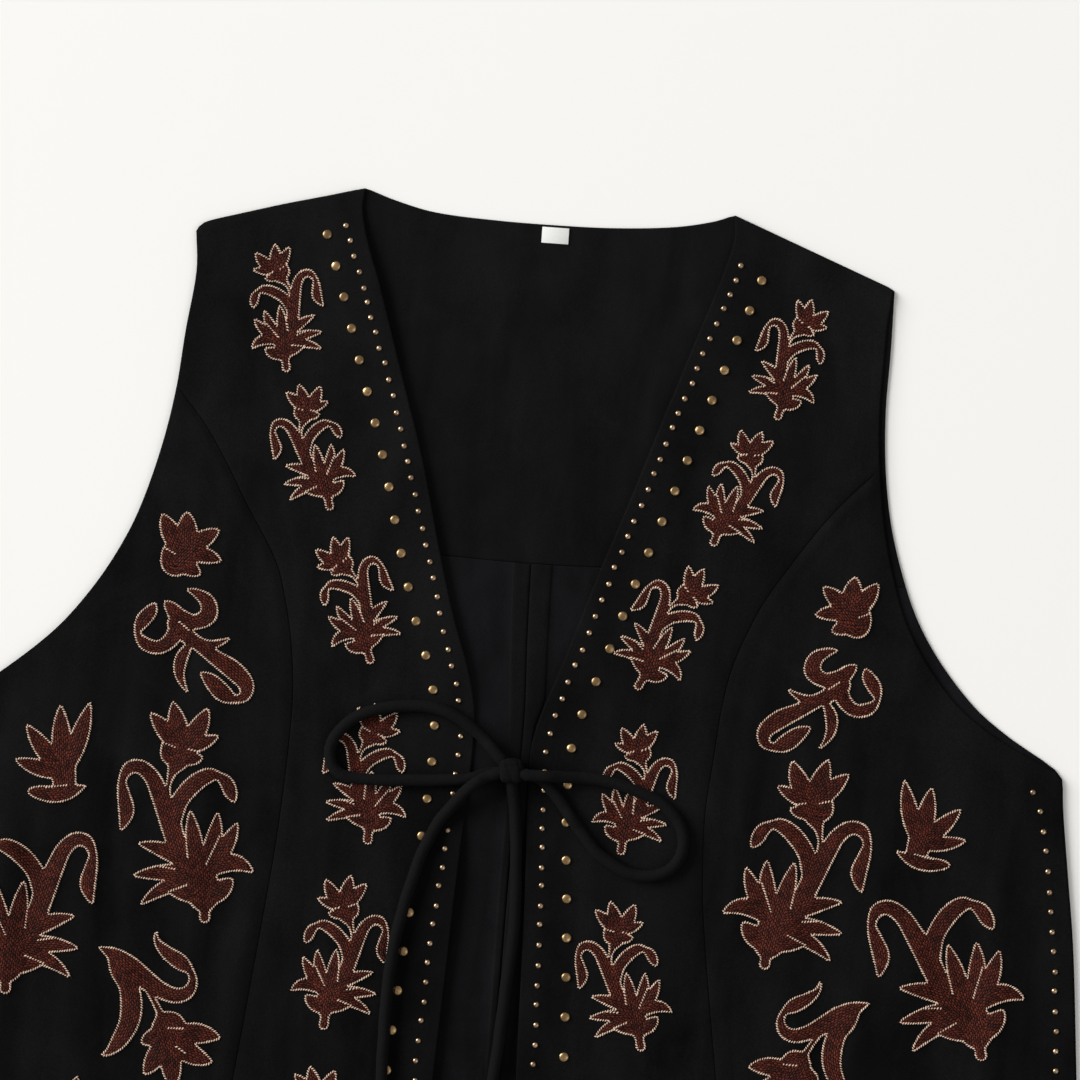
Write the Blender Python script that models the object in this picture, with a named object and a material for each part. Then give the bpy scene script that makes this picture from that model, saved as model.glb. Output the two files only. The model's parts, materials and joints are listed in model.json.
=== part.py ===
"""Embroidered folk vest of black faux suede, laid flat with its back underneath.

The cut pieces are thin walls, worked out from the outline of each piece. The vest
faces up, its neck towards +Y, and it rests on z = 0. Tables are in millimetres,
measured from the bow on the front: across towards the wearer's left, up towards the
neck. The wearer's right lies at -X.
"""

import math
from collections import namedtuple

import bmesh
import bpy
from mathutils import Vector

MM = 0.001
TINY = 1e-6

# Cloth and the gaps between its layers
WALL = 1.3
GAP = 0.3
RIM_DROP = 0.45
RIM_WIDTH = 1.2

# Overall sizes
NECK_UP = 285.5
HEM_UP = -297.0
HEM_SIDE_UP = -290.0
HEM_FADE = 100.0
HEM_HALF_WIDTH = 310.0
SHOULDER_ROLL = 1.6
MIDDLE_UP = (NECK_UP + HEM_UP) / 2

# Middle seam of the back, with its allowances pressed open
BACK_SEAM_ACROSS = 2.9
ALLOWANCE_THICKNESS = 0.8

# Brass studs of the larger size
STUD_DIAMETER = 5.0
STUD_HEIGHT = 0.9
STUD_FIRST_UP = {"right": 260.7, "left": 253.5}
STUD_LAST_UP = -282.0
STUD_SIDES = 8

# The tie
CORD_DIAMETER = 5.8
CORD_RADIUS = CORD_DIAMETER / 2
CORD_STEP = 11.0
CURVE_FINENESS = 24
REST_SAMPLES = 12
RUN_SAMPLES = 6
CLEARING_ROUNDS = 4
EDGE_SLACK = 0.2
KNOT_WIDTH = 12.5
KNOT_ACROSS = 0.5
KNOT_BASE = WALL + ALLOWANCE_THICKNESS + GAP
KNOT_TOP = 15.4
KNOT_CORNER = 2.2

# Grid of the panels: columns across a piece and rows up it
CENTRE_COLUMNS = 7
SIDE_COLUMNS = 9
BACK_COLUMNS = 5
ROWS_BELOW_UNDERARM = 15
ROWS_ABOVE_UNDERARM = 9
ROWS_TO_SHOULDER = 6
BACK_ROWS_BELOW = 9
BACK_ROWS_ABOVE = 5
YOKE_ROWS = 7
SHOULDER_COLUMNS = 4
NECK_COLUMNS = 12
NECK_FROM = 0.27
NECK_TO = 0.73

# Size label
LABEL_WIDTH = 13.5
LABEL_LENGTH = 8.0
LABEL_THICKNESS = 0.6
LABEL_ACROSS = 3.0
LABEL_UP = 268.6

Row = namedtuple("Row", "up across")
Inset = namedtuple("Inset", "up inset")
Rise = namedtuple("Rise", "share rise")
Point = namedtuple("Point", "across up")
Fold = namedtuple("Fold", "across_low up_low across_high up_high half_width height")
Route = namedtuple("Route", "across up above")
Spacing = namedtuple("Spacing", "up pitch inset")

# Front edges, from the neck down to the hem
FRONT_EDGE = {
    "right": (
        Row(285.5, -93.5), Row(275, -94.2), Row(258, -90.1), Row(239, -83.2),
        Row(197, -69.6), Row(153, -55.3), Row(106, -42.8), Row(72, -32.8),
        Row(52, -25.6), Row(32, -20.4), Row(15, -19.3), Row(0, -19.5),
        Row(-43, -21.9), Row(-103, -24.6), Row(-157, -27.1), Row(-297, -33.5)),
    "left": (
        Row(285.5, 92.0), Row(274, 92.7), Row(256, 88.5), Row(226, 78.6),
        Row(183, 64.3), Row(139, 50.0), Row(99, 36.3), Row(59, 23.7),
        Row(30, 13.8), Row(15, 10.1), Row(0, 9.4), Row(-18, 9.8),
        Row(-55, 11.5), Row(-80, 12.3), Row(-131, 13.6), Row(-297, 18.0)),
}

# Curved seams between the centre and side fronts, from the armhole to the hem
CURVED_SEAM = {
    "right": (
        Row(176.5, -178.0), Row(161, -164.7), Row(142, -152.3), Row(125, -142.5),
        Row(96, -124.9), Row(76, -118.4), Row(54, -113.8), Row(27, -111.3),
        Row(-9, -112.1), Row(-46, -114.5), Row(-83, -118.2), Row(-165, -127.3),
        Row(-297, -143.0)),
    "left": (
        Row(162.6, 173.0), Row(151, 161.9), Row(138, 150.8), Row(123, 139.9),
        Row(94, 121.5), Row(75, 112.8), Row(58, 107.0), Row(38, 103.5),
        Row(13, 101.3), Row(-12, 99.2), Row(-37, 99.5), Row(-70, 102.4),
        Row(-147, 114.1), Row(-297, 138.0)),
}

# Outer outline, from the shoulder tip down the armhole to the underarm
ARMHOLE = {
    "right": (
        Row(258.5, -177.0), Row(238, -175.4), Row(208, -178.6), Row(177, -181.4),
        Row(147, -186.8), Row(116, -195.5), Row(95, -204.6), Row(74, -217.0),
        Row(53, -233.5), Row(31, -258.0), Row(14, -281.0)),
    "left": (
        Row(253.8, 174.8), Row(223, 175.1), Row(193, 174.8), Row(163, 177.0),
        Row(134, 182.2), Row(104, 191.9), Row(85, 200.8), Row(66, 213.8),
        Row(47, 231.2), Row(36, 245.8), Row(31, 253.8), Row(25, 264.4), Row(20.5, 271.6),
        Row(17.5, 275.4), Row(14, 277.0)),
}

# Side seams, from the underarm down to the hem
SIDE_SEAM = {
    "right": (
        Row(14, -281.0), Row(-30, -284.5), Row(-70, -288.4), Row(-129, -294.0),
        Row(-297, -HEM_HALF_WIDTH)),
    "left": (
        Row(14, 277.0), Row(0, 278.2), Row(-30, 282.6), Row(-69, 288.3),
        Row(-129, 294.3), Row(-297, HEM_HALF_WIDTH)),
}

# How far the front armhole edge lies inside the outer outline
FRONT_ARMHOLE_INSET = {
    "right": (Inset(258.5, 0.3), Inset(14, 0.3)),
    "left": (
        Inset(253.8, 0.8), Inset(232, 3.0), Inset(193, 3.2), Inset(150, 3.4),
        Inset(104, 5.6), Inset(66, 8.0), Inset(42, 8.6), Inset(28, 6.8), Inset(20, 3.0),
        Inset(14, 1.0)),
}
BACK_ARMHOLE_INSET = {
    "right": (Inset(258.5, 0.0), Inset(238, 1.6), Inset(31, 1.6), Inset(14, 0.0)),
    "left": (Inset(253.8, 0.0), Inset(14, 0.0)),
}

# How far each shoulder's edge stands above the straight line from its tip to the neck
SHOULDER_RISE = {
    "right": (
        Rise(0.0, -0.7), Rise(0.02, 1.8), Rise(0.05, 2.8), Rise(0.1, 3.1), Rise(0.23, 2.9),
        Rise(0.5, 2.3), Rise(0.64, 1.7), Rise(0.78, 1.0), Rise(0.92, 0.5), Rise(1.0, 0.0)),
    "left": (
        Rise(0.0, -0.7), Rise(0.025, 0.0), Rise(0.06, 0.1), Rise(0.2, 0.1),
        Rise(1.0, 0.0)),
}

# Width of the pressed-open allowances of the back's middle seam
ALLOWANCE_WIDTH = {
    "right": (Inset(110, 7.9), Inset(60, 7.6), Inset(-20, 4.0), Inset(-297, 3.6)),
    "left": (Inset(110, 10.6), Inset(60, 9.6), Inset(28, 5.4), Inset(-297, 5.4)),
}

# Large studs beside the front edges: pitch down the edge and inset from it
STUD_SPACING = (
    Spacing(262, 16.2, 20.0), Spacing(170, 16.35, 20.0), Spacing(105, 17.25, 20.0),
    Spacing(20, 18.3, 20.0), Spacing(-30, 19.1, 20.0), Spacing(-90, 19.8, 22.3),
    Spacing(-150, 20.2, 23.6), Spacing(-297, 20.0, 24.0))

YOKE_SEAM = (
    Point(-198.5, 105.5), Point(-82.0, 105.8), Point(2.9, 103.7), Point(82.0, 105.5),
    Point(191.5, 105.5))
NECK_CURVE = (
    Point(-93.5, 285.5), Point(-78.0, 280.4), Point(-58.0, 276.0), Point(-28.0, 274.2),
    Point(2.0, 273.9), Point(32.0, 274.6), Point(62.0, 277.3), Point(82.0, 281.6),
    Point(92.0, 285.5))

# Largest soft folds of the fronts, each a low ridge from its lower to its upper end
FOLDS = (
    Fold(-262, -250, -247, 10, 24, 2.2),
    Fold(-205, -270, -186, 60, 26, 1.8),
    Fold(-160, -200, -148, 100, 20, 1.3),
    Fold(-84, -230, -72, -40, 20, 1.2),
    Fold(-120, 150, -100, 262, 26, 1.1),
    Fold(262, -255, 250, -10, 22, 2.0),
    Fold(200, -280, 178, 70, 26, 1.9),
    Fold(150, -210, 140, 96, 18, 1.4),
    Fold(66, -240, 62, -60, 20, 1.2),
    Fold(122, 130, 104, 258, 26, 1.0),
)
FRONT_LIFT = 1.9
FRONT_LIFT_WIDTH = 30.0
TIE_PRESS = 14.0
TIE_PRESS_FADE = 40.0
SIDE_SETTLE = 30.0

# Routes of the tie, from the knot outwards, with the height above what they rest on
TIE_ROUTES = {
    "tie_loop_right": (
        Route(-6.1, 6.6, 4.2), Route(-9.0, 9.6, 4.0), Route(-16.2, 16.4, 1.5),
        Route(-28.4, 24.6, 0), Route(-41.2, 28.4, 0), Route(-54.5, 28.2, 0),
        Route(-70.5, 24.9, 0), Route(-82.4, 18.0, 0), Route(-89.4, 8.4, 0),
        Route(-90.2, -0.6, 0), Route(-85.6, -7.4, 0), Route(-75.5, -9.7, 0),
        Route(-60.5, -9.5, 0), Route(-41.5, -8.1, 0), Route(-27.0, -6.8, 0),
        Route(-20.6, -6.0, 0), Route(-14.0, -3.4, 0), Route(-9.0, -2.1, 0),
        Route(-6.9, -2.0, 0)),
    "tie_loop_left": (
        Route(7.9, -1.2, 6.3), Route(10.4, -1.3, 6.3), Route(14.0, -1.4, 6.3),
        Route(19.0, -1.3, 6.2), Route(24.0, -1.2, 4.0), Route(30.0, -1.3, 1.2),
        Route(38.0, -1.4, 0), Route(48.0, -1.9, 0), Route(61.0, -5.0, 0),
        Route(73.9, -9.6, 0), Route(84.2, -17.4, 0), Route(88.7, -27.2, 0),
        Route(88.0, -37.0, 0), Route(81.6, -44.8, 0), Route(71.2, -48.0, 0),
        Route(60.0, -45.9, 0), Route(47.0, -38.2, 0), Route(37.6, -28.2, 0),
        Route(29.9, -18.4, 0), Route(22.4, -9.6, 0), Route(17.0, -4.4, 0),
        Route(12.0, -1.9, 0), Route(10.0, -1.5, 0), Route(7.9, -1.4, 0)),
    "tie_tail_right": (
        Route(-6.9, -2.1, 6.3), Route(-9.2, -2.5, 6.3), Route(-13.0, -4.6, 6.3),
        Route(-17.5, -7.8, 6.2), Route(-21.6, -12.0, 4.6), Route(-25.6, -17.0, 2.0),
        Route(-29.4, -22.0, 0.6), Route(-33.4, -27.8, 0), Route(-40.0, -42.0, 0),
        Route(-45.0, -58.9, 0), Route(-49.0, -76.3, 0), Route(-51.8, -93.5, 0),
        Route(-53.2, -114.7, 0), Route(-53.3, -135.8, 0), Route(-52.8, -159.3, 0),
        Route(-51.4, -181.0, 0), Route(-50.6, -203.0, 0), Route(-52.0, -222.0, 0)),
    "tie_tail_left": (
        Route(1.6, -7.4, 2.6), Route(1.9, -9.8, 2.2), Route(3.0, -16.0, 0.6),
        Route(4.4, -25.0, 0), Route(5.6, -36.0, 0), Route(6.9, -54.6, 0),
        Route(7.6, -72.0, 0), Route(7.3, -88.0, 0), Route(6.0, -104.8, 0),
        Route(4.6, -130.0, 0), Route(3.2, -149.0, 0), Route(1.4, -170.0, 0),
        Route(0.2, -188.0, 0), Route(0.8, -204.0, 0)),
}


def smooth_value(keys, values, key):
    """Read a smooth curve through a short table whose keys fall or rise steadily."""
    if keys[0] > keys[-1]:
        keys, values = keys[::-1], values[::-1]
    key = min(max(key, keys[0]), keys[-1])
    i = 0
    while i < len(keys) - 2 and key > keys[i + 1]:
        i += 1

    def slope(at):
        before, after = max(at - 1, 0), min(at + 1, len(keys) - 1)
        return (values[after] - values[before]) / (keys[after] - keys[before])

    span = keys[i + 1] - keys[i]
    t = (key - keys[i]) / span
    return ((2 * t**3 - 3 * t**2 + 1) * values[i] + (t**3 - 2 * t**2 + t) * span * slope(i)
            + (3 * t**2 - 2 * t**3) * values[i + 1] + (t**3 - t**2) * span * slope(i + 1))


def across_at(rows, up):
    return smooth_value([r.up for r in rows], [r.across for r in rows], up)


def inset_at(rows, up):
    return smooth_value([r.up for r in rows], [r.inset for r in rows], up)


def ease(share):
    """Rise smoothly from 0 to 1."""
    share = min(max(share, 0.0), 1.0)
    return share * share * (3 - 2 * share)


def side_sign(side):
    return 1 if side == "left" else -1


def outline_at(side, up):
    """Outer outline: the side seam below the underarm, the armhole above it."""
    if up <= ARMHOLE[side][-1].up + TINY:
        return across_at(SIDE_SEAM[side], up)
    return across_at(ARMHOLE[side], up)


def hem_at(across):
    """The hem's height, a shallow curve that rises towards the side seams."""
    share = (across / HEM_HALF_WIDTH) ** 2
    return HEM_UP + (HEM_SIDE_UP - HEM_UP) * share


def border_up(across_at_hem, up):
    """Height of a point on an upright border, which starts on the curved hem."""
    return up + (hem_at(across_at_hem) - HEM_UP) * (1 - ease((up - HEM_UP) / HEM_FADE))


def edge_inset_at(table, side, up):
    """How far an edge lies inside the outline: an armhole table, or a hair at the sides."""
    if up <= table[side][-1].up:
        return table[side][-1].inset
    return inset_at(table[side], up)


def back_top(across, up):
    """Height of the back's upper face, its inside."""
    if up > YOKE_SEAM[2].up:
        return WALL
    offset = across - BACK_SEAM_ACROSS
    side = "left" if offset > 0 else "right"
    raised = abs(offset) < inset_at(ALLOWANCE_WIDTH[side], up)
    return WALL + (ALLOWANCE_THICKNESS if raised else 0.0)


def fold_lift(across, up):
    """Sum of the soft ridges at a point."""
    lift = 0.0
    for fold in FOLDS:
        run_across = fold.across_high - fold.across_low
        run_up = fold.up_high - fold.up_low
        length_squared = run_across**2 + run_up**2
        along = ((across - fold.across_low) * run_across + (up - fold.up_low) * run_up)
        along = along / length_squared
        if not 0 < along < 1:
            continue
        away = abs((across - fold.across_low) * run_up - (up - fold.up_low) * run_across)
        away = away / math.sqrt(length_squared)
        if away < fold.half_width:
            ends = ease(min(along, 1 - along) * 3)
            lift += fold.height * ends * (1 - (away / fold.half_width)**2)**2
    return lift


def front_lift(side, across, up):
    """How far a front stands clear of the back beneath it."""
    sign = side_sign(side)
    from_edge = sign * (across - across_at(FRONT_EDGE[side], up))
    at_edge = FRONT_LIFT * (1 - ease(from_edge / FRONT_LIFT_WIDTH))
    pressed = ease((abs(up) - TIE_PRESS) / TIE_PRESS_FADE)
    neck = ease((NECK_UP - up) / TIE_PRESS_FADE)
    from_side = sign * (outline_at(side, up) - across)
    settle = ease(from_side / SIDE_SETTLE)
    return at_edge * pressed * neck + fold_lift(across, up) * settle


def front_under(side, across, up):
    return WALL + GAP + front_lift(side, across, up)


def front_top(side, across, up):
    return front_under(side, across, up) + WALL


def stud_places(side):
    """Walk down the front edge and set a large stud beside it at every pitch."""
    places = []
    ups = [s.up for s in STUD_SPACING]
    up = STUD_FIRST_UP[side]
    while up > STUD_LAST_UP:
        edge = across_at(FRONT_EDGE[side], up)
        inset = smooth_value(ups, [s.inset for s in STUD_SPACING], up)
        places.append(Point(edge + side_sign(side) * inset, up))
        slope = edge - across_at(FRONT_EDGE[side], up - 1)
        pitch = smooth_value(ups, [s.pitch for s in STUD_SPACING], up)
        up -= pitch / math.hypot(1, slope)
    return places


STUDS = {side: stud_places(side) for side in FRONT_EDGE}


def lerp(a, b, share):
    return a + (b - a) * share


def mix(a, b, share):
    return Vector((lerp(a[0], b[0], share), lerp(a[1], b[1], share)))


def patch(borders, u, v):
    """A point of the patch between four border curves (low, high, inner, outer)."""
    low, high, inner, outer = borders
    ruled_up = mix(low(u), high(u), v)
    ruled_across = mix(inner(v), outer(v), u)
    corners = mix(mix(low(0), low(1), u), mix(high(0), high(1), u), v)
    return ruled_up + ruled_across - corners


def rim_shares(shares, length):
    """Fit all of a run's shares between the two rims."""
    near = min(RIM_WIDTH / length, 0.3)
    inside = [lerp(near, 1 - near, s) for s in shares]
    return [0.0] + inside + [1.0]


def even(count):
    return [i / count for i in range(count + 1)]


def wall_mesh(name, grid, under, top, flat_under=False):
    """Close a wall between an upper and a lower face over a grid of points."""
    bm = bmesh.new()
    last_row, last_column = len(grid) - 1, len(grid[0]) - 1
    upper, lower = [], []
    for i, line in enumerate(grid):
        upper.append([])
        lower.append([])
        for j, (x, y) in enumerate(line):
            on_rim = i in (0, last_row) or j in (0, last_column)
            z_top = top(x, y) - (RIM_DROP if on_rim else 0.0)
            place = Vector((x, y - MIDDLE_UP, 0)) * MM
            upper[-1].append(bm.verts.new(place + Vector((0, 0, z_top * MM))))
            if on_rim or not flat_under:
                z_under = 0.0 if flat_under else under(x, y)
                lower[-1].append(bm.verts.new(place + Vector((0, 0, z_under * MM))))
            else:
                lower[-1].append(None)
    for i in range(last_row):
        for j in range(last_column):
            bm.faces.new((upper[i][j], upper[i][j + 1], upper[i + 1][j + 1], upper[i + 1][j]))
            if not flat_under:
                bm.faces.new((lower[i][j], lower[i + 1][j], lower[i + 1][j + 1],
                              lower[i][j + 1]))
    rim = ([(0, j) for j in range(last_column)]
           + [(i, last_column) for i in range(last_row)]
           + [(last_row, j) for j in range(last_column, 0, -1)]
           + [(i, 0) for i in range(last_row, 0, -1)])
    for (i, j), (k, m) in zip(rim, rim[1:] + rim[:1]):
        bm.faces.new((lower[i][j], lower[k][m], upper[k][m], upper[i][j]))
    if flat_under:
        bm.faces.new([lower[i][j] for i, j in reversed(rim)])
    bmesh.ops.recalc_face_normals(bm, faces=bm.faces)
    mesh = bpy.data.meshes.new(name)
    bm.to_mesh(mesh)
    bm.free()
    return mesh


def make_material(name, color, roughness, metallic=0.0):
    material = bpy.data.materials.new(name)
    material.use_nodes = True
    shader = material.node_tree.nodes["Principled BSDF"]
    shader.inputs["Base Color"].default_value = (*color, 1.0)
    shader.inputs["Roughness"].default_value = roughness
    shader.inputs["Metallic"].default_value = metallic
    return material


def add_object(name, mesh, material):
    piece = bpy.data.objects.new(name, mesh)
    bpy.context.scene.collection.objects.link(piece)
    mesh.materials.append(material)
    mesh.shade_smooth()
    mesh.set_sharp_from_angle(angle=math.radians(40))
    return piece


def shoulder_rise(side, share):
    """Rise of a shoulder's edge, a share of the way from its tip to the neck."""
    rows = SHOULDER_RISE[side]
    return smooth_value([r.share for r in rows], [r.rise for r in rows], share)


def front_armhole(side, up):
    return outline_at(side, up) - side_sign(side) * edge_inset_at(FRONT_ARMHOLE_INSET, side, up)


def back_armhole(side, up):
    return outline_at(side, up) - side_sign(side) * edge_inset_at(BACK_ARMHOLE_INSET, side, up)


def between(start, end, count):
    """Even steps from just past the start to the end."""
    return [lerp(start, end, (i + 1) / count) for i in range(count)]


def seam_ups(side):
    """Heights at which both fronts are cut along their curved seam."""
    underarm_up = ARMHOLE[side][-1].up
    return ([HEM_UP, HEM_UP + RIM_WIDTH] + between(HEM_UP, underarm_up, ROWS_BELOW_UNDERARM)
            + between(underarm_up, CURVED_SEAM[side][0].up, ROWS_ABOVE_UNDERARM))


def front_mesh(name, side, borders, shares, columns):
    inner, outer = borders[2], borders[3]
    grid = []
    for v in shares:
        width = abs(outer(v)[0] - inner(v)[0])
        grid.append([patch(borders, u, v) for u in rim_shares(even(columns), width)])
    return wall_mesh(name, grid, lambda x, y: front_under(side, x, y),
                     lambda x, y: front_top(side, x, y))


def add_front_centre(side, material):
    sign = side_sign(side)
    seam = CURVED_SEAM[side]
    line_up = ARMHOLE[side][0].up - SHOULDER_ROLL
    tip_up = line_up + SHOULDER_RISE[side][0].rise
    neck_up = NECK_UP - SHOULDER_ROLL
    corner_up = seam[0].up

    def inner(v):
        up = lerp(HEM_UP, neck_up, v)
        return across_at(FRONT_EDGE[side], up), border_up(FRONT_EDGE[side][-1].across, up)

    def outer(v):
        up = lerp(HEM_UP, tip_up, v)
        if up <= corner_up + TINY:
            across = across_at(seam, up) - sign * GAP / 2
        else:
            across = front_armhole(side, up)
        return across, border_up(seam[-1].across, up)

    def low(u):
        across = lerp(inner(0)[0], outer(0)[0], u)
        return across, hem_at(across)

    def high(u):
        across, up = mix(inner(1), (outer(1)[0], line_up), u)
        return across, up + shoulder_rise(side, 1 - u)

    ups = seam_ups(side) + between(corner_up, tip_up, ROWS_TO_SHOULDER)
    ups.insert(-1, tip_up - RIM_WIDTH)
    shares = [(up - HEM_UP) / (tip_up - HEM_UP) for up in ups]
    name = "front_centre_" + side
    mesh = front_mesh(name, side, (low, high, inner, outer), shares, CENTRE_COLUMNS)
    return add_object(name, mesh, material)


def add_front_side(side, material):
    sign = side_sign(side)
    seam = CURVED_SEAM[side]
    ups = seam_ups(side)
    ups.insert(-1, ups[-1] - RIM_WIDTH)
    top_up = ups[-1]

    def inner(v):
        up = lerp(HEM_UP, top_up, v)
        return across_at(seam, up) + sign * GAP / 2, border_up(seam[-1].across, up)

    def outer(v):
        up = lerp(HEM_UP, top_up, v)
        return front_armhole(side, up), border_up(HEM_HALF_WIDTH, up)

    def low(u):
        across = lerp(inner(0)[0], outer(0)[0], u)
        return across, hem_at(across)

    def high(u):
        return mix(inner(1), outer(1), u)

    shares = [(up - HEM_UP) / (top_up - HEM_UP) for up in ups]
    name = "front_side_" + side
    mesh = front_mesh(name, side, (low, high, inner, outer), shares, SIDE_COLUMNS)
    return add_object(name, mesh, material)


def add_back_lower(side, material):
    sign = side_sign(side)
    yoke_end = YOKE_SEAM[-1] if side == "left" else YOKE_SEAM[0]
    middle_top = YOKE_SEAM[2].up - GAP / 2
    underarm_up = ARMHOLE[side][-1].up
    top_up = yoke_end.up - GAP / 2

    def inner(v):
        return BACK_SEAM_ACROSS + sign * GAP / 2, lerp(HEM_UP, middle_top, v)

    def outer(v):
        up = lerp(HEM_UP, top_up, v)
        return back_armhole(side, up), border_up(HEM_HALF_WIDTH, up)

    def low(u):
        across = lerp(inner(0)[0], outer(0)[0], u)
        return across, hem_at(across)

    def high(u):
        across = lerp(inner(1)[0], outer(1)[0], u)
        return across, yoke_seam_at(across) - GAP / 2

    borders = (low, high, inner, outer)
    ups = ([HEM_UP, HEM_UP + RIM_WIDTH] + between(HEM_UP, underarm_up, BACK_ROWS_BELOW)
           + between(underarm_up, top_up, BACK_ROWS_ABOVE))
    ups.insert(-1, top_up - RIM_WIDTH)
    grid = []
    for v in [(up - HEM_UP) / (top_up - HEM_UP) for up in ups]:
        width = abs(outer(v)[0] - inner(v)[0])
        strip = inset_at(ALLOWANCE_WIDTH[side], lerp(HEM_UP, middle_top, v))
        shares = [n / width for n in (0.0, RIM_WIDTH, strip - GAP, strip + GAP)]
        shares += between(shares[-1], 1 - RIM_WIDTH / width, BACK_COLUMNS) + [1.0]
        grid.append([patch(borders, u, v) for u in shares])

    name = "back_lower_" + side
    mesh = wall_mesh(name, grid, None, back_top, flat_under=True)
    return add_object(name, mesh, material)


def yoke_seam_at(across):
    return smooth_value([p.across for p in YOKE_SEAM], [p.up for p in YOKE_SEAM], across)


def neck_curve_at(across):
    return smooth_value([p.across for p in NECK_CURVE], [p.up for p in NECK_CURVE], across)


def add_back_yoke(material):
    tips = {side: Point(ARMHOLE[side][0].across, ARMHOLE[side][0].up) for side in ARMHOLE}

    def edge(side, v):
        end = YOKE_SEAM[-1] if side == "left" else YOKE_SEAM[0]
        up = lerp(end.up + GAP / 2, tips[side].up + SHOULDER_RISE[side][0].rise, v)
        return back_armhole(side, up), up

    def low(u):
        across = lerp(edge("right", 0)[0], edge("left", 0)[0], u)
        return across, yoke_seam_at(across) + GAP / 2

    def high(u):
        if u <= NECK_FROM:
            across, up = mix(tips["right"], NECK_CURVE[0], u / NECK_FROM)
            return across, up + shoulder_rise("right", u / NECK_FROM)
        if u >= NECK_TO:
            across, up = mix(NECK_CURVE[-1], tips["left"], (u - NECK_TO) / (1 - NECK_TO))
            return across, up + shoulder_rise("left", (1 - u) / (1 - NECK_TO))
        share = (u - NECK_FROM) / (NECK_TO - NECK_FROM)
        across = lerp(NECK_CURVE[0].across, NECK_CURVE[-1].across, share)
        return across, neck_curve_at(across)

    borders = (low, high, lambda v: edge("right", v), lambda v: edge("left", v))
    shares = ([0.0] + between(0.0, NECK_FROM, SHOULDER_COLUMNS)
              + between(NECK_FROM, NECK_TO, NECK_COLUMNS)
              + between(NECK_TO, 1.0, SHOULDER_COLUMNS))
    height = tips["right"].up - YOKE_SEAM[0].up
    near = RIM_WIDTH / height
    grid = []
    for v in [0.0] + [near] + between(near, 1 - near, YOKE_ROWS) + [1.0]:
        width = abs(edge("left", v)[0] - edge("right", v)[0])
        rim = RIM_WIDTH / width
        columns = [0.0, rim] + shares[1:-1] + [1 - rim, 1.0]
        grid.append([patch(borders, u, v) for u in columns])
    mesh = wall_mesh("back_yoke", grid, None, lambda x, y: WALL, flat_under=True)
    return add_object("back_yoke", mesh, material)


def raise_studs(front, side):
    """Join the domes of the large studs to a front."""
    bm = bmesh.new()
    radius = STUD_DIAMETER / 2
    rings = ((radius, -0.5 * STUD_HEIGHT), (radius, 0.17 * STUD_HEIGHT),
             (radius * 0.7, 0.72 * STUD_HEIGHT))
    for place in STUDS[side]:
        base = front_top(side, place.across, place.up)
        loops = []
        for ring_radius, height in rings:
            loop = []
            for k in range(STUD_SIDES):
                angle = math.tau * k / STUD_SIDES
                loop.append(bm.verts.new(Vector((
                    place.across + ring_radius * math.cos(angle),
                    place.up - MIDDLE_UP + ring_radius * math.sin(angle),
                    base + height)) * MM))
            loops.append(loop)
        bm.faces.new(reversed(loops[0]))
        for below, above in zip(loops, loops[1:]):
            for k in range(STUD_SIDES):
                after = (k + 1) % STUD_SIDES
                bm.faces.new((below[k], below[after], above[after], above[k]))
        crown = bm.verts.new(Vector((place.across, place.up - MIDDLE_UP,
                                     base + STUD_HEIGHT)) * MM)
        for k in range(STUD_SIDES):
            bm.faces.new((loops[-1][k], loops[-1][(k + 1) % STUD_SIDES], crown))
    mesh = bpy.data.meshes.new("stud_guide_" + side)
    bm.to_mesh(mesh)
    bm.free()
    guide = bpy.data.objects.new("stud_guide_" + side, mesh)
    bpy.context.scene.collection.objects.link(guide)
    guide.hide_render = True
    guide.display_type = "WIRE"
    union = front.modifiers.new("large studs", "BOOLEAN")
    union.operation = "UNION"
    union.object = guide
    union.solver = "EXACT"


def cloth_height(across, up):
    """Height of the cloth at a point, the highest layer there."""
    for side in ("right", "left"):
        sign = side_sign(side)
        if sign * (across - across_at(FRONT_EDGE[side], up)) > -EDGE_SLACK:
            on_stud = any(math.dist((across, up), place) < STUD_DIAMETER / 2
                          for place in STUDS[side])
            return front_top(side, across, up) + (STUD_HEIGHT if on_stud else 0.0)
    return back_top(across, up)


def resting_height(across, up):
    """Height of a cord's middle line where it lies on the cloth."""
    highest = cloth_height(across, up)
    for k in range(REST_SAMPLES):
        angle = math.tau * k / REST_SAMPLES
        highest = max(highest, cloth_height(across + CORD_RADIUS * math.cos(angle),
                                            up + CORD_RADIUS * math.sin(angle)))
    return highest + GAP + CORD_RADIUS


def curve_through(points, step):
    """Even points on a smooth curve through the given points."""
    dense = []
    padded = [points[0] * 2 - points[1]] + points + [points[-1] * 2 - points[-2]]
    for a, b, c, d in zip(padded, padded[1:], padded[2:], padded[3:]):
        for k in range(CURVE_FINENESS):
            t = k / CURVE_FINENESS
            dense.append(0.5 * (2 * b + (c - a) * t + (2 * a - 5 * b + 4 * c - d) * t**2
                                + (3 * b - a - 3 * c + d) * t**3))
    dense.append(points[-1])
    length = sum((b - a).length for a, b in zip(dense, dense[1:]))
    count = max(round(length / step), 2)
    places, run = [dense[0]], 0.0
    for a, b in zip(dense, dense[1:]):
        run += (b - a).length
        if run >= length * len(places) / count and len(places) < count:
            places.append(b)
    places.append(dense[-1])
    return places


def keep_clear(points):
    """Raise a cord's points until each straight run between them clears the cloth."""
    for _ in range(CLEARING_ROUNDS):
        for a, b in zip(points, points[1:]):
            lack = 0.0
            for share in even(RUN_SAMPLES):
                place = a.lerp(b, share)
                lack = max(lack, resting_height(place.x, place.y) - place.z)
            a.z += lack
            b.z += lack
    return points


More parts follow.
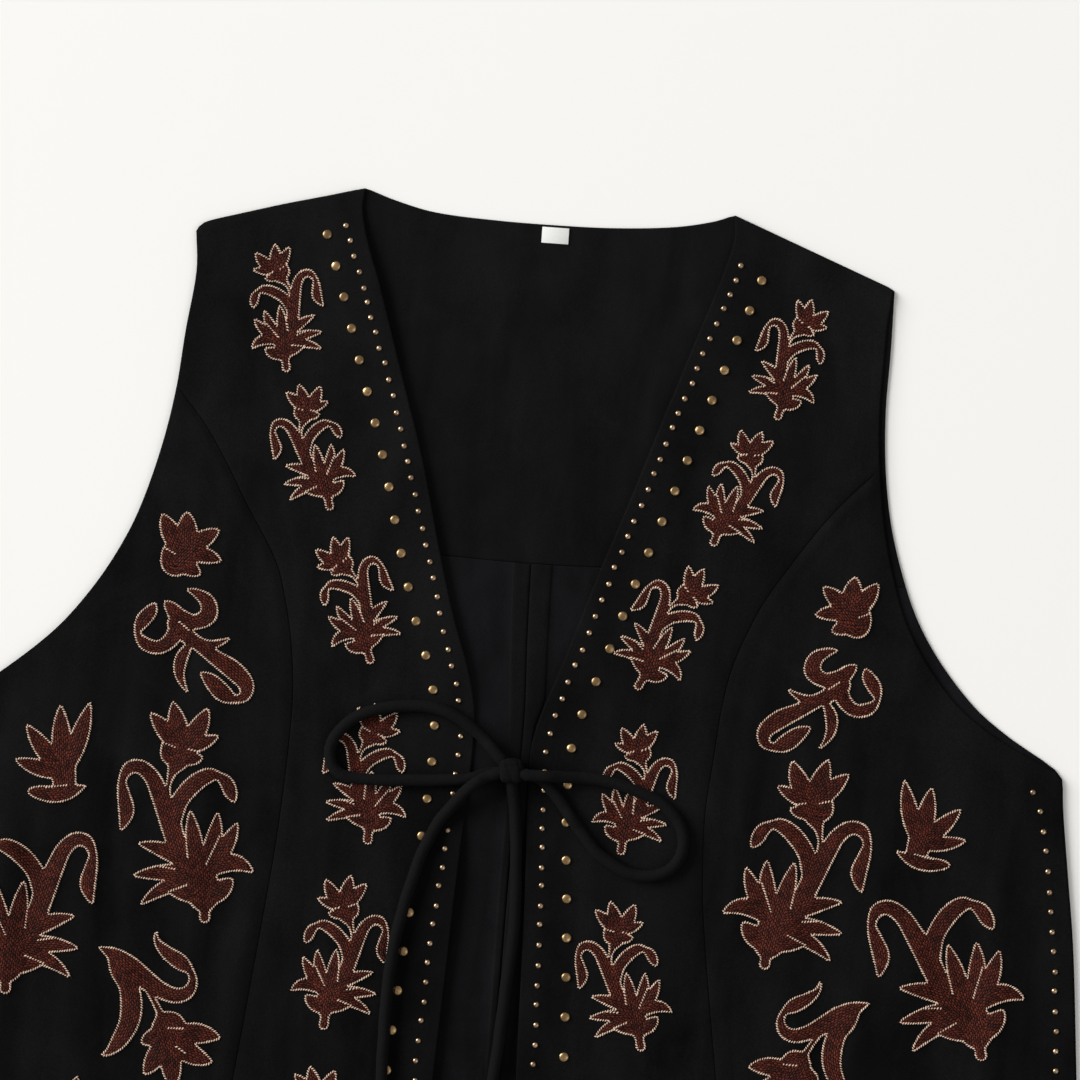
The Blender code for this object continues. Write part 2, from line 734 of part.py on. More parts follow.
def add_cord(name, material):
    route = [Vector((r.across, r.up, resting_height(r.across, r.up) + r.above))
             for r in TIE_ROUTES[name]]
    curve = bpy.data.curves.new(name, "CURVE")
    curve.dimensions = "3D"
    curve.resolution_u = 1
    curve.render_resolution_u = 0
    curve.bevel_depth = CORD_RADIUS * MM
    curve.bevel_resolution = 2
    curve.use_fill_caps = True
    points = keep_clear(curve_through(route, CORD_STEP))
    spline = curve.splines.new("POLY")
    spline.points.add(len(points) - 1)
    for target, point in zip(spline.points, points):
        place = (point - Vector((0, MIDDLE_UP, 0))) * MM
        target.co = (*place, 1.0)
    piece = bpy.data.objects.new(name, curve)
    bpy.context.scene.collection.objects.link(piece)
    curve.materials.append(material)


def add_knot(material):
    """The squarish wrap that holds the bow, a rounded block of cord."""
    half = KNOT_WIDTH / 2
    height = KNOT_TOP - KNOT_BASE
    bm = bmesh.new()
    bmesh.ops.create_cube(bm, size=1.0)
    for vert in bm.verts:
        vert.co = Vector((vert.co.x * 2 * half + KNOT_ACROSS, vert.co.y * 2 * half - MIDDLE_UP,
                          vert.co.z * height + KNOT_BASE + height / 2)) * MM
    bmesh.ops.bevel(bm, geom=bm.edges[:], offset=KNOT_CORNER * MM, segments=2, profile=0.5,
                    affect="EDGES")
    mesh = bpy.data.meshes.new("tie_knot")
    bm.to_mesh(mesh)
    bm.free()
    add_object("tie_knot", mesh, material)


def add_label(material):
    """A plain woven rectangle on the inside of the back neck."""
    bm = bmesh.new()
    bmesh.ops.create_cube(bm, size=1.0)
    base = WALL + GAP
    for vert in bm.verts:
        vert.co = Vector((vert.co.x * LABEL_WIDTH + LABEL_ACROSS,
                          vert.co.y * LABEL_LENGTH + LABEL_UP - MIDDLE_UP,
                          (vert.co.z + 0.5) * LABEL_THICKNESS + base)) * MM
    mesh = bpy.data.meshes.new("size_label")
    bm.to_mesh(mesh)
    bm.free()
    add_object("size_label", mesh, material)


def main():
    for old in list(bpy.data.objects):
        bpy.data.objects.remove(old, do_unlink=True)
    suede = make_material("black_suede", (0.008, 0.008, 0.009), 0.9)
    reverse = make_material("suede_reverse", (0.009, 0.009, 0.012), 0.95)
    cord = make_material("black_cord", (0.01, 0.01, 0.011), 0.85)
    label = make_material("white_woven", (0.85, 0.85, 0.84), 0.8)
    for side in ("right", "left"):
        raise_studs(add_front_centre(side, suede), side)
        add_front_side(side, suede)
        add_back_lower(side, reverse)
    add_back_yoke(suede)
    for name in TIE_ROUTES:
        add_cord(name, cord)
    add_knot(cord)
    add_label(label)


main()
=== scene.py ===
"""Embroidered folk vest of black faux suede, laid flat with its back underneath.

The panels, the tie, the embroidery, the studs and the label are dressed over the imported
model. Tables are in millimetres, measured from the bow on the front: across towards the
wearer's left, up towards the neck. The wearer's right lies at -X.
"""

import json
import math
from collections import namedtuple

import bmesh
import bpy
import numpy as np
from bpy.props import FloatProperty, FloatVectorProperty, IntProperty, PointerProperty
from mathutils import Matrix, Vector
from mathutils.geometry import delaunay_2d_cdt

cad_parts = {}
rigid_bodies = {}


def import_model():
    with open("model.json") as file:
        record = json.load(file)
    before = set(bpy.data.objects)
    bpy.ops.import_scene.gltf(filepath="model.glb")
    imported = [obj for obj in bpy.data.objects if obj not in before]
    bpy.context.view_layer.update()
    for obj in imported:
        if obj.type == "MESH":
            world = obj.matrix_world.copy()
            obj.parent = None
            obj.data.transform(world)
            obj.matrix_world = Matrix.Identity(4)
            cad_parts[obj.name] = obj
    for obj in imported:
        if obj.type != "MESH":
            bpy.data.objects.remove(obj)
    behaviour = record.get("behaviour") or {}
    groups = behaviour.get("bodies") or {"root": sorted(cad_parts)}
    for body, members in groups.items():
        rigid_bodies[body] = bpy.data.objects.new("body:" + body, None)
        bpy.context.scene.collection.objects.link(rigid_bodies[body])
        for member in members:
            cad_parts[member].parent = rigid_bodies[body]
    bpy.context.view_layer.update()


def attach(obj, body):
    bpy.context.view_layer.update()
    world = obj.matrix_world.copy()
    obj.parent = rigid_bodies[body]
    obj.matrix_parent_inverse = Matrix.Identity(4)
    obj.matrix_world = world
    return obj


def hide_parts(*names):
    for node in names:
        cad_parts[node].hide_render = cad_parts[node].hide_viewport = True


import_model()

bl_info = {
    "name": "Embroidered folk vest",
    "version": (1, 0, 0),
    "blender": (4, 5, 0),
    "location": "View3D > Sidebar > Vest",
    "description": "Builds a black suede vest with embroidered sprigs, brass studs and a tied cord",
    "category": "Object",
}

MM = 0.001

# Cloth and the gaps between its layers
WALL = 1.3
GAP = 0.3

# Overall sizes
NECK_UP = 285.5
HEM_UP = -297.0
HEM_SIDE_UP = -290.0
HEM_FADE = 100.0
HEM_HALF_WIDTH = 310.0
SHOULDER_ROLL = 0.2
MIDDLE_UP = (NECK_UP + HEM_UP) / 2

# Middle seam of the back, with its allowances pressed open
BACK_SEAM_ACROSS = 2.9
ALLOWANCE_THICKNESS = 0.8

# The tie
CORD_RADIUS = 2.9
CORD_STEP = 11.0
KNOT_WIDTH = 12.5
KNOT_ACROSS = 0.5
KNOT_BASE = WALL + ALLOWANCE_THICKNESS + GAP
KNOT_TOP = 15.4

# Size label
LABEL_WIDTH = 13.5
LABEL_LENGTH = 8.0
LABEL_THICKNESS = 0.6
LABEL_ACROSS = 3.0
LABEL_UP = 268.6
LABEL_ROUNDING = 0.15

Row = namedtuple("Row", "up across")
Point = namedtuple("Point", "across up")
Fold = namedtuple("Fold", "across_low up_low across_high up_high half_width height")
Leaf = namedtuple("Leaf", "base_x base_y tip_x tip_y width bend")
Motif = namedtuple("Motif", "leaves ribbons veins")
StudKind = namedtuple("StudKind", "name sides rings uneven roundness tilt")
Place = namedtuple("Place", "motif size across up turn mirror tall")

# Fine shape of the cloth
RIM_STEPS = (0.0, 0.12, 0.35, 0.7, 1.3)
EDGE_ROLL = 0.65
SHOULDER_TURN = 2.6
PANEL_COLUMNS = 48
PANEL_ROWS = 150
YOKE_COLUMNS = 120
YOKE_ROWS = 46
BACK_COLUMNS = 64
BACK_ROWS = 90
STRIP_COLUMNS = 5
RIPPLE_WAVES = 9
RIPPLE_HEIGHT = 0.45
RIPPLE_SEED = {"right": 11, "left": 27}
RIPPLE_LENGTHS = (46.0, 92.0)
LEAST_LIFT = 0.25
BACK_RIPPLE_HEIGHT = 0.12
BACK_RIPPLE_SEED = 5
BACK_RIPPLE_LENGTHS = (60.0, 110.0)
ALLOWANCE_EDGE = 1.5
SEAM_GROOVE = 0.4
SEAM_GROOVE_WIDTH = 0.7
VALLEY_DEPTH = 0.5
VALLEY_WIDTH = 2.4
PUCKER_HEIGHT = 0.35
PUCKER_FROM_SEAM = 5.0
PUCKER_WIDTH = 3.4
SEAM_START = 2.0
SEAM_FADE = 8.0
SEAM_GAP = 0.004
SEAM_END = 3.8
SHOULDER_DROP = 1.1
STRIP_RIM = (0.0, 0.18, 0.36, 0.6)
NECK_FROM = 0.27
NECK_TO = 0.73

# Fine shape of the tie, and how far the cord runs on into its knot
CORD_HIDDEN = 5.5
TUBE_SIDES = 16
TUBE_STEP = 1.4
TUBE_UNEVEN = 0.08
KNOT_CUTS = 17
KNOT_SQUARENESS = 3.4
KNOT_TURNS = 3.4
KNOT_PRESS = 0.07
KNOT_CROSSING = 0.05

# Fine shape of the embroidery
STROKE_STEP = 0.8
FIELD_STEP = 0.6
FIELD_MARGIN = 3.0
OUTLINE_STEP = 1.3
OUTLINE_INSET = 0.45
FILL_STEP = 1.5
FILL_EDGE = 1.5
FILL_BED = 0.25
OUTLINE_RISE = -0.05
LEAF_START = 0.2
LEAST_LOOP = 8
CURVE_FINENESS = 24

# How far a cord rises over a large stud, and within what distance of it
STUD_LIFT = 1.0
STUD_REACH = 2.6

# Point value that marks cloth turned over, and the lengths between which painted sheen pales the
# nap
TURNED = "Turned over"
SHEEN_DRIFT_FROM_TO = (-0.24, 0.28)

# Strokes of the nap across, up and through, and its fibres: scale, detail and roughness
STROKE_SCALE = (38.0, 10.0, 38.0)
FIBRES = (1500.0, 3.0, 0.7)

# Where the photo's middle lies, and the lamps: name, place, size and share of the power
VIEW_CENTRE = (0.0065, 0.1216)
CLOTH_HEIGHT = 0.006
FLOOR_HALF_WIDTH = 3.0
FLOOR_DROP = 0.0002
KEY_LIGHTS = (
    ("window_light", (-10.0, 4.0, 5.8), 7.7, 1.0),
    ("bounce_light", (5.0, -2.4, 7.0), 5.0, 0.05),
)

# Front edges, from the neck down to the hem
FRONT_EDGE = {
    "right": (
        Row(285.5, -93.5), Row(275, -94.2), Row(258, -90.1), Row(239, -83.2), Row(197, -69.6),
        Row(153, -55.3), Row(106, -42.8), Row(72, -32.8), Row(52, -25.6), Row(32, -20.4),
        Row(15, -19.3), Row(0, -19.5), Row(-43, -21.9), Row(-103, -24.6), Row(-157, -27.1),
        Row(-297, -33.5)),
    "left": (
        Row(285.5, 92.0), Row(274, 92.7), Row(256, 88.5), Row(226, 78.6), Row(183, 64.3),
        Row(139, 50.0), Row(99, 36.3), Row(59, 23.7), Row(30, 13.8), Row(15, 10.1), Row(0, 9.4),
        Row(-18, 9.8), Row(-55, 11.5), Row(-80, 12.3), Row(-131, 13.6), Row(-297, 18.0)),
}

# Curved seams between the centre and side fronts, from the armhole to the hem
CURVED_SEAM = {
    "right": (
        Row(176.5, -178.0), Row(161, -164.7), Row(142, -152.3), Row(125, -142.5), Row(96, -124.9),
        Row(76, -118.4), Row(54, -113.8), Row(27, -111.3), Row(-9, -112.1), Row(-46, -114.5),
        Row(-83, -118.2), Row(-165, -127.3), Row(-297, -143.0)),
    "left": (
        Row(162.6, 173.0), Row(151, 161.9), Row(138, 150.8), Row(123, 139.9), Row(94, 121.5),
        Row(75, 112.8), Row(58, 107.0), Row(38, 103.5), Row(13, 101.3), Row(-12, 99.2),
        Row(-37, 99.5), Row(-70, 102.4), Row(-147, 114.1), Row(-297, 138.0)),
}

# Outer outline, from the shoulder tip down the armhole to the underarm
ARMHOLE = {
    "right": (
        Row(258.5, -177.0), Row(238, -175.4), Row(208, -178.6), Row(177, -181.4), Row(147, -186.8),
        Row(116, -195.5), Row(95, -204.6), Row(74, -217.0), Row(53, -233.5), Row(31, -258.0),
        Row(14, -281.0)),
    "left": (
        Row(253.8, 174.8), Row(223, 175.1), Row(193, 174.8), Row(163, 177.0), Row(134, 182.2),
        Row(104, 191.9), Row(85, 200.8), Row(66, 213.8), Row(47, 231.2), Row(36, 245.8),
        Row(31, 253.8), Row(25, 264.4), Row(20.5, 271.6), Row(17.5, 275.4), Row(14, 277.0)),
}

# Side seams, from the underarm down to the hem
SIDE_SEAM = {
    "right": (
        Row(14, -281.0), Row(-30, -284.5), Row(-70, -288.4), Row(-129, -294.0),
        Row(-297, -HEM_HALF_WIDTH)),
    "left": (
        Row(14, 277.0), Row(0, 278.2), Row(-30, 282.6), Row(-69, 288.3), Row(-129, 294.3),
        Row(-297, HEM_HALF_WIDTH)),
}

# How far each armhole edge lies inside the outer outline: up, inset
FRONT_ARMHOLE_INSET = {
    "right": ((258.5, 0.3), (14, 0.3)),
    "left": (
        (253.8, 0.8), (232, 3.0), (193, 3.2), (150, 3.4), (104, 5.6), (66, 8.0), (42, 8.6),
        (28, 6.8), (20, 3.0), (14, 1.0)),
}
BACK_ARMHOLE_INSET = {
    "right": ((258.5, 0.0), (238, 1.6), (31, 1.6), (14, 0.0)),
    "left": ((253.8, 0.0), (14, 0.0)),
}

# How far each shoulder's edge stands above the straight line from its tip to the neck:
# share of the way, rise
SHOULDER_RISE = {
    "right": (
        (0.0, -0.7), (0.02, 1.8), (0.05, 2.8), (0.1, 3.1), (0.23, 2.9), (0.5, 2.3), (0.64, 1.7),
        (0.78, 1.0), (0.92, 0.5), (1.0, 0.0)),
    "left": (
        (0.0, -0.7), (0.025, 0.0), (0.06, 0.1), (0.2, 0.1), (1.0, 0.0)),
}

# Pressed-open allowances of the back's middle seam: up, width
ALLOWANCE_WIDTH = {
    "right": (
        (110, 8.8), (65, 8.0), (31, 7.4), (-20, 4.6), (-297, 3.6)),
    "left": (
        (110, 10.7), (60, 10.2), (40, 9.9), (34, 9.2), (28, 7.2), (24, 5.8), (18, 5.2),
        (-297, 5.2)),
}

# How far the middle seam leans towards the wearer's left: up, lean
SEAM_LEAN = (
    (110, 0.0), (90, 0.2), (60, 1.0), (31, 2.2), (0, 1.8), (-50, 0.4), (-110, 0.0), (-297, 0.0))

# Large studs beside the front edges: up, pitch down the edge, inset from it
STUD_SPACING = (
    (262, 16.2, 20.0), (170, 16.35, 20.0), (105, 17.25, 20.0), (20, 18.3, 20.0), (-30, 19.1, 20.0),
    (-90, 19.8, 22.3), (-150, 20.2, 23.6), (-297, 20.0, 24.0))

# Seam between the yoke and the lower backs, and the curve of the back's neck
YOKE_SEAM = (
    Point(-198.5, 105.5), Point(-82.0, 105.8), Point(2.9, 103.7), Point(82.0, 105.5),
    Point(191.5, 105.5))
NECK_CURVE = (
    Point(-93.5, 285.5), Point(-78.0, 280.4), Point(-58.0, 276.0), Point(-28.0, 274.2),
    Point(2.0, 273.9), Point(32.0, 274.6), Point(62.0, 277.3), Point(82.0, 281.6),
    Point(92.0, 285.5))

# Largest soft folds of the fronts, each a low ridge from its lower to its upper end
FOLDS = (
    Fold(-262, -250, -247, 10, 24, 2.2),
    Fold(-205, -270, -186, 60, 26, 1.8),
    Fold(-160, -200, -148, 100, 20, 1.3),
    Fold(-84, -230, -72, -40, 20, 1.2),
    Fold(-120, 150, -100, 262, 26, 1.1),
    Fold(262, -255, 250, -10, 22, 2.0),
    Fold(200, -280, 178, 70, 26, 1.9),
    Fold(150, -210, 140, 96, 18, 1.4),
    Fold(66, -240, 62, -60, 20, 1.2),
    Fold(122, 130, 104, 258, 26, 1.0),
)

# How high the fronts' free edges rise, and how far the tie and the sides hold them down
FRONT_LIFT = 2.8
FRONT_LIFT_WIDTH = 30.0
TIE_PRESS = 14.0
TIE_PRESS_FADE = 40.0
SIDE_SETTLE = 30.0

# Routes of the tie, from the knot outwards: across, up, height above what they rest on
TIE_ROUTES = {
    "tie_loop_right": (
        (-6.1, 6.6, 4.2), (-9.0, 9.6, 4.0), (-16.2, 16.4, 1.5), (-28.4, 24.6, 0), (-41.2, 28.4, 0),
        (-54.5, 28.2, 0), (-70.5, 24.9, 0), (-82.4, 18.0, 0), (-89.4, 8.4, 0), (-90.2, -0.6, 0),
        (-85.6, -7.4, 0), (-75.5, -9.7, 0), (-60.5, -9.5, 0), (-41.5, -8.1, 0), (-27.0, -6.8, 0),
        (-20.6, -6.0, 0), (-14.0, -3.4, 0), (-9.0, -2.1, 0), (-6.9, -2.0, 0)),
    "tie_loop_left": (
        (7.9, -1.2, 6.3), (10.4, -1.3, 6.3), (14.0, -1.4, 6.3), (19.0, -1.3, 6.2),
        (24.0, -1.2, 4.0), (30.0, -1.3, 1.2), (38.0, -1.4, 0), (48.0, -1.9, 0), (61.0, -5.0, 0),
        (73.9, -9.6, 0), (84.2, -17.4, 0), (88.7, -27.2, 0), (88.0, -37.0, 0), (81.6, -44.8, 0),
        (71.2, -48.0, 0), (60.0, -45.9, 0), (47.0, -38.2, 0), (37.6, -28.2, 0), (29.9, -18.4, 0),
        (22.4, -9.6, 0), (17.0, -4.4, 0), (12.0, -1.9, 0), (10.0, -1.5, 0), (7.9, -1.4, 0)),
    "tie_tail_right": (
        (-6.9, -2.1, 6.3), (-9.2, -2.5, 6.3), (-13.0, -4.6, 6.3), (-17.5, -7.8, 6.2),
        (-21.6, -12.0, 4.6), (-25.6, -17.0, 2.0), (-29.4, -22.0, 0.6), (-33.4, -27.8, 0),
        (-40.0, -42.0, 0), (-45.0, -58.9, 0), (-49.0, -76.3, 0), (-51.8, -93.5, 0),
        (-53.2, -114.7, 0), (-53.3, -135.8, 0), (-52.8, -159.3, 0), (-51.4, -181.0, 0),
        (-50.6, -203.0, 0), (-52.0, -222.0, 0)),
    "tie_tail_left": (
        (1.6, -7.4, 2.6), (1.9, -9.8, 2.2), (3.0, -16.0, 0.6), (4.4, -25.0, 0), (5.6, -36.0, 0),
        (6.9, -54.6, 0), (7.6, -72.0, 0), (7.3, -88.0, 0), (6.0, -104.8, 0), (4.6, -130.0, 0),
        (3.2, -149.0, 0), (1.4, -170.0, 0), (0.2, -188.0, 0), (0.8, -204.0, 0)),
}

# Softer creases of the fronts that only show in the light, ridges and troughs
CREASES = {
    "right": (
        Fold(-246, -240, -250, 34, 13, 1.45), Fold(-219, -250, -232, 20, 12, -1.3),
        Fold(-205, -120, -214, 30, 11, 1.16), Fold(-190, -260, -196, 44, 10, -1.16),
        Fold(-134, -250, -122, 70, 9, 1.01), Fold(-146, -180, -140, 84, 9, -0.87),
        Fold(-158, 108, -172, 168, 10, 0.87), Fold(-276, -240, -268, -20, 12, 1.16),
        Fold(-60, -200, -56, -70, 7, -0.72), Fold(-98, 30, -120, 120, 14, 0.72),
        Fold(-150, 200, -166, 246, 12, 0.72)),
    "left": (
        Fold(118, -60, 124, 92, 10, 1.3), Fold(131, -40, 142, 104, 9, -1.16),
        Fold(150, 20, 176, 128, 12, 1.01), Fold(166, -60, 196, 88, 10, -0.87),
        Fold(214, -230, 206, 46, 13, 1.16), Fold(232, -240, 226, 30, 11, -1.16),
        Fold(252, -200, 246, 10, 11, 1.16), Fold(182, -250, 176, -60, 12, 1.01),
        Fold(44, -180, 40, -60, 8, -0.72), Fold(84, -220, 80, -20, 12, 0.72),
        Fold(118, 180, 132, 246, 16, 0.72)),
}

# Small studs beside the front edges, and inside the side seams: up, pitch, inset
SMALL_SPACING = {
    "right": (
        (266, 7.6, 9.8), (250, 8.4, 9.0), (222, 7.45, 8.8), (196, 8.45, 7.7), (150, 8.35, 7.7),
        (124, 8.55, 7.0), (108, 8.7, 6.4), (84, 8.85, 6.1), (66, 9.3, 7.4), (36, 8.8, 7.9),
        (16, 9.2, 6.6), (-2, 9.65, 7.6), (-40, 9.25, 7.7), (-90, 9.85, 9.3), (-297, 9.9, 9.0)),
    "left": (
        (266, 7.55, 7.4), (240, 8.0, 7.3), (208, 8.1, 6.2), (150, 8.4, 6.5), (110, 8.6, 6.7),
        (50, 9.05, 6.9), (10, 9.65, 7.9), (-40, 9.55, 8.0), (-90, 9.95, 8.4), (-297, 9.9, 9.0)),
}
SMALL_FIRST_UP = {"right": 265.8, "left": 260.3}
SIDE_SPACING = (
    (7.7, 9.4, 15.2), (-2, 9.8, 12.0), (-20, 10.1, 10.8), (-60, 10.0, 10.4), (-297, 9.9, 11.4))
SIDE_FIRST_UP = 7.7
STUD_FIRST_UP = {"right": 260.7, "left": 253.5}
STUD_LAST_UP = -282.0
LARGE_STUD = StudKind("large", 16, 8, 0.0, 0.6, 0.11)
SMALL_STUD = StudKind("small", 10, 6, 0.25, 1.0, 0.14)

# Embroidered motifs, drawn as pointed leaves and ribbons about the heart of each
SPRIG_PALMETTE = (
    Leaf(-2, 2, -31.4, 14.5, 9.0, -2.0), Leaf(0, -1, -34.0, -1.9, 9.0, -1.0),
    Leaf(-1, -4, -30.0, -17.6, 8.0, -3.0), Leaf(0.5, 3, -4.0, 32.0, 8.8, 0.5),
    Leaf(3, 3, 9.6, 31.0, 8.8, -1.5), Leaf(4, 1, 19.9, 25.6, 9.5, -1.5),
    Leaf(6, 0, 28.3, -1.3, 9.5, 5.2), Leaf(2, -13, 17.2, -3.0, 11.0, -1.6),
    Leaf(4, -13, -15.5, -10.2, 9.0, -0.6))
SPRIG_BLOSSOM = (
    Leaf(-8, 61, -24.5, 80.0, 10.0, 0.0), Leaf(-8, 62, -13.0, 85.7, 10.5, 0.0),
    Leaf(-7, 62, 5.0, 82.5, 10.5, -1.0), Leaf(-6, 61, 11.0, 68.3, 7.4, 0.0),
    Leaf(-9, 57, 2.7, 57.4, 7.4, -0.6))
SHORT_STALK = (
    ((0, 4, 6), (1.5, -4, 8), (2.5, -11, 8.2), (3, -16, 4.8),
     (3.1, -19.5, 2.7), (3.1, -23, 2.9)),)
LONG_STALK = (
    ((0, 4, 6), (1.5, -4, 7.5), (2.5, -10, 7.2), (3, -15, 4.6),
     (3.1, -18.5, 3.3), (3.4, -22, 3.3), (3.8, -25, 3.5)),)
SPRIG_STEM = (
    ((-2, -2, 6), (-8, 8, 5.6), (-12, 18, 5.4), (-15, 28, 5.6),
     (-19, 38, 4.8), (-23, 47, 4.2), (-28.5, 52.3, 3.8), (-34.5, 52, 3.4), (-38, 46, 2.3),
     (-37.4, 39, 3.4), (-36, 31, 4.2), (-37.2, 25, 2.6), (-39.3, 20, 0.3)),
    ((-13, 26, 5), (-9, 36, 4.6), (-2, 44, 4.6), (5, 48.2, 3.9),
     (10, 47.8, 2.4), (14, 44.5, 3.6), (16.2, 39.5, 3.4), (18.3, 34.3, 0.4)))
SPRIG_STALK = (
    ((-14.5, 34, 1.3), (-15, 43, 1.4), (-13, 50, 2.6), (-10, 56, 5.5),
     (-8, 60, 6)),
    ((-9, 57, 5), (-14, 58.5, 5), (-16.5, 63, 2.4)))
SPRIG_VEINS = (((4, 4), (10.4, 17.5)), ((-19, 2.6), (-12, 1.4)),
               ((-6.2, 18.5), (-5.3, 7.5)), ((-15, -10.0), (-6, -6.6)))
BLOSSOM_VEINS = (((-17.6, 64.6), (-11.8, 62.4)), ((-0.3, 60.2), (-4.8, 61.4)))
MOTIFS = {
    "sprig": Motif(SPRIG_PALMETTE + SPRIG_BLOSSOM,
                   SHORT_STALK + SPRIG_STEM + SPRIG_STALK, SPRIG_VEINS + BLOSSOM_VEINS),
    "spray": Motif(SPRIG_PALMETTE + SPRIG_BLOSSOM,
                   LONG_STALK + SPRIG_STEM + SPRIG_STALK, SPRIG_VEINS + BLOSSOM_VEINS),
    "fork": Motif(SPRIG_PALMETTE, SHORT_STALK + SPRIG_STEM, SPRIG_VEINS),
    "bud": Motif(
        (Leaf(-2, 2, -11.4, 20.5, 10.5, 0.5), Leaf(1, 3, 1.3, 21.2, 11.0, 0.0),
         Leaf(2, 2, 17.8, 12.2, 9.5, 0.5), Leaf(2, 0, 18.8, -4.0, 8.5, 1.0),
         Leaf(-3, -5, 8.0, -10.8, 8.5, 0.5)),
        (((0, 0, 8), (-5, -4.5, 7), (-8, 0, 4), (-9.4, 3.6, 1.2)),),
        (((-10, 3), (-5, 0)),)),
    "bloom": Motif(
        (Leaf(-2, -1, -24.2, 6.4, 8.8, 0.5), Leaf(-1, 1, -18.3, 24.2, 9.8, 0.5),
         Leaf(0, 2, -0.8, 34.1, 10.4, 0.0), Leaf(3, 2, 14.3, 35.6, 9.8, -0.5)),
        (((0, 2, 7), (1, -4, 6.2), (1, -9, 6)),
         ((-17.8, -9.9, 0.4), (-13, -10.5, 3.2), (-5, -11.5, 4.4),
          (3, -10.5, 3.8), (12.8, -6.9, 0.4))),
        (((-8, -8), (2, -7)),)),
    "scroll": Motif(
        (),
        (((-0.3, 22.5, 0.3), (5.4, 20.8, 2.2), (11.4, 16.1, 4.0),
          (11.8, 9.4, 4.6), (5.4, 6.0, 4.0), (-2, 8, 4.6), (-6.7, 13, 3.4), (-9.8, 16.2, 0.8)),
         ((-3.4, 2.7, 4.6), (-7.4, -3.4, 4.0), (-13.4, -6.7, 3.6),
          (-20, -4.7, 3.4), (-23.6, 0.7, 1.8), (-21, 6.7, 3.8), (-17, 11.4, 3.4),
          (-14.6, 15.8, 0.5)),
         ((-4, 5, 5.0), (3.4, -2.7, 4.0), (10.7, -5.6, 3.0),
          (18, -4.2, 1.8), (24.8, -1, 0.3)),
         ((5.4, -4, 3.6), (14.8, -11.4, 4.0), (24.2, -18, 5.0),
          (30.6, -25, 4.2), (30, -31, 3.0), (24.6, -32.6, 2.4), (19, -29.4, 4.6),
          (13.2, -23.4, 3.8), (7.4, -18.8, 0.4)),
         ((2.7, -5, 1.8), (-1.6, -12.1, 3.4), (-2.7, -19.5, 2.8),
          (-0.4, -26.2, 1.4), (3.4, -31.5, 0.2))),
        (((-2.5, 6), (2, 2)),)),
    "vine": Motif(
        (Leaf(14, -22, 37.4, -23.8, 11.0, 1.5), Leaf(13, -24, 33.6, -35.8, 11.0, -2.0),
         Leaf(9, -22, -2.7, -26.6, 9.0, -1.0), Leaf(8, -26, -1.6, -42.3, 10.0, 0.5),
         Leaf(11, -26, 13.6, -50.0, 11.0, 0.0)),
        (((5.1, 33.6, 0.2), (4.9, 25.5, 1.6), (9.8, 19.5, 3.4),
          (16.8, 14.6, 4.2), (21.7, 10.3, 2.2), (23.3, 4.9, 2.4), (20.6, -0.5, 3.4),
          (14.6, -2.2, 4.0), (7, 0.5, 4.4), (-1.1, 6, 5.2), (-8.7, 12.5, 5.4), (-15.7, 17.6, 4.0),
          (-23.8, 22, 0.6)),
         ((-17.3, 17, 2.6), (-13.4, 10, 5.0), (-9.1, 2.7, 5.2),
          (-7.6, -7, 5.6), (-9, -16.3, 5.2), (-13.8, -25, 4.2), (-19, -30.6, 2.0),
          (-23.8, -32.5, 0.3)),
         ((0.6, 0.5, 1.6), (3.8, -5.0, 1.7), (6.8, -11, 2.0)),
         ((8, -14, 3.4), (9.6, -20, 7.5), (12, -25, 7.0)),
         ((8, -14, 4.0), (13.6, -14.6, 4.2), (18, -17.4, 2.4))),
        (((11, -18.5), (18, -18.8)), ((15, -28), (19, -31)))),
}

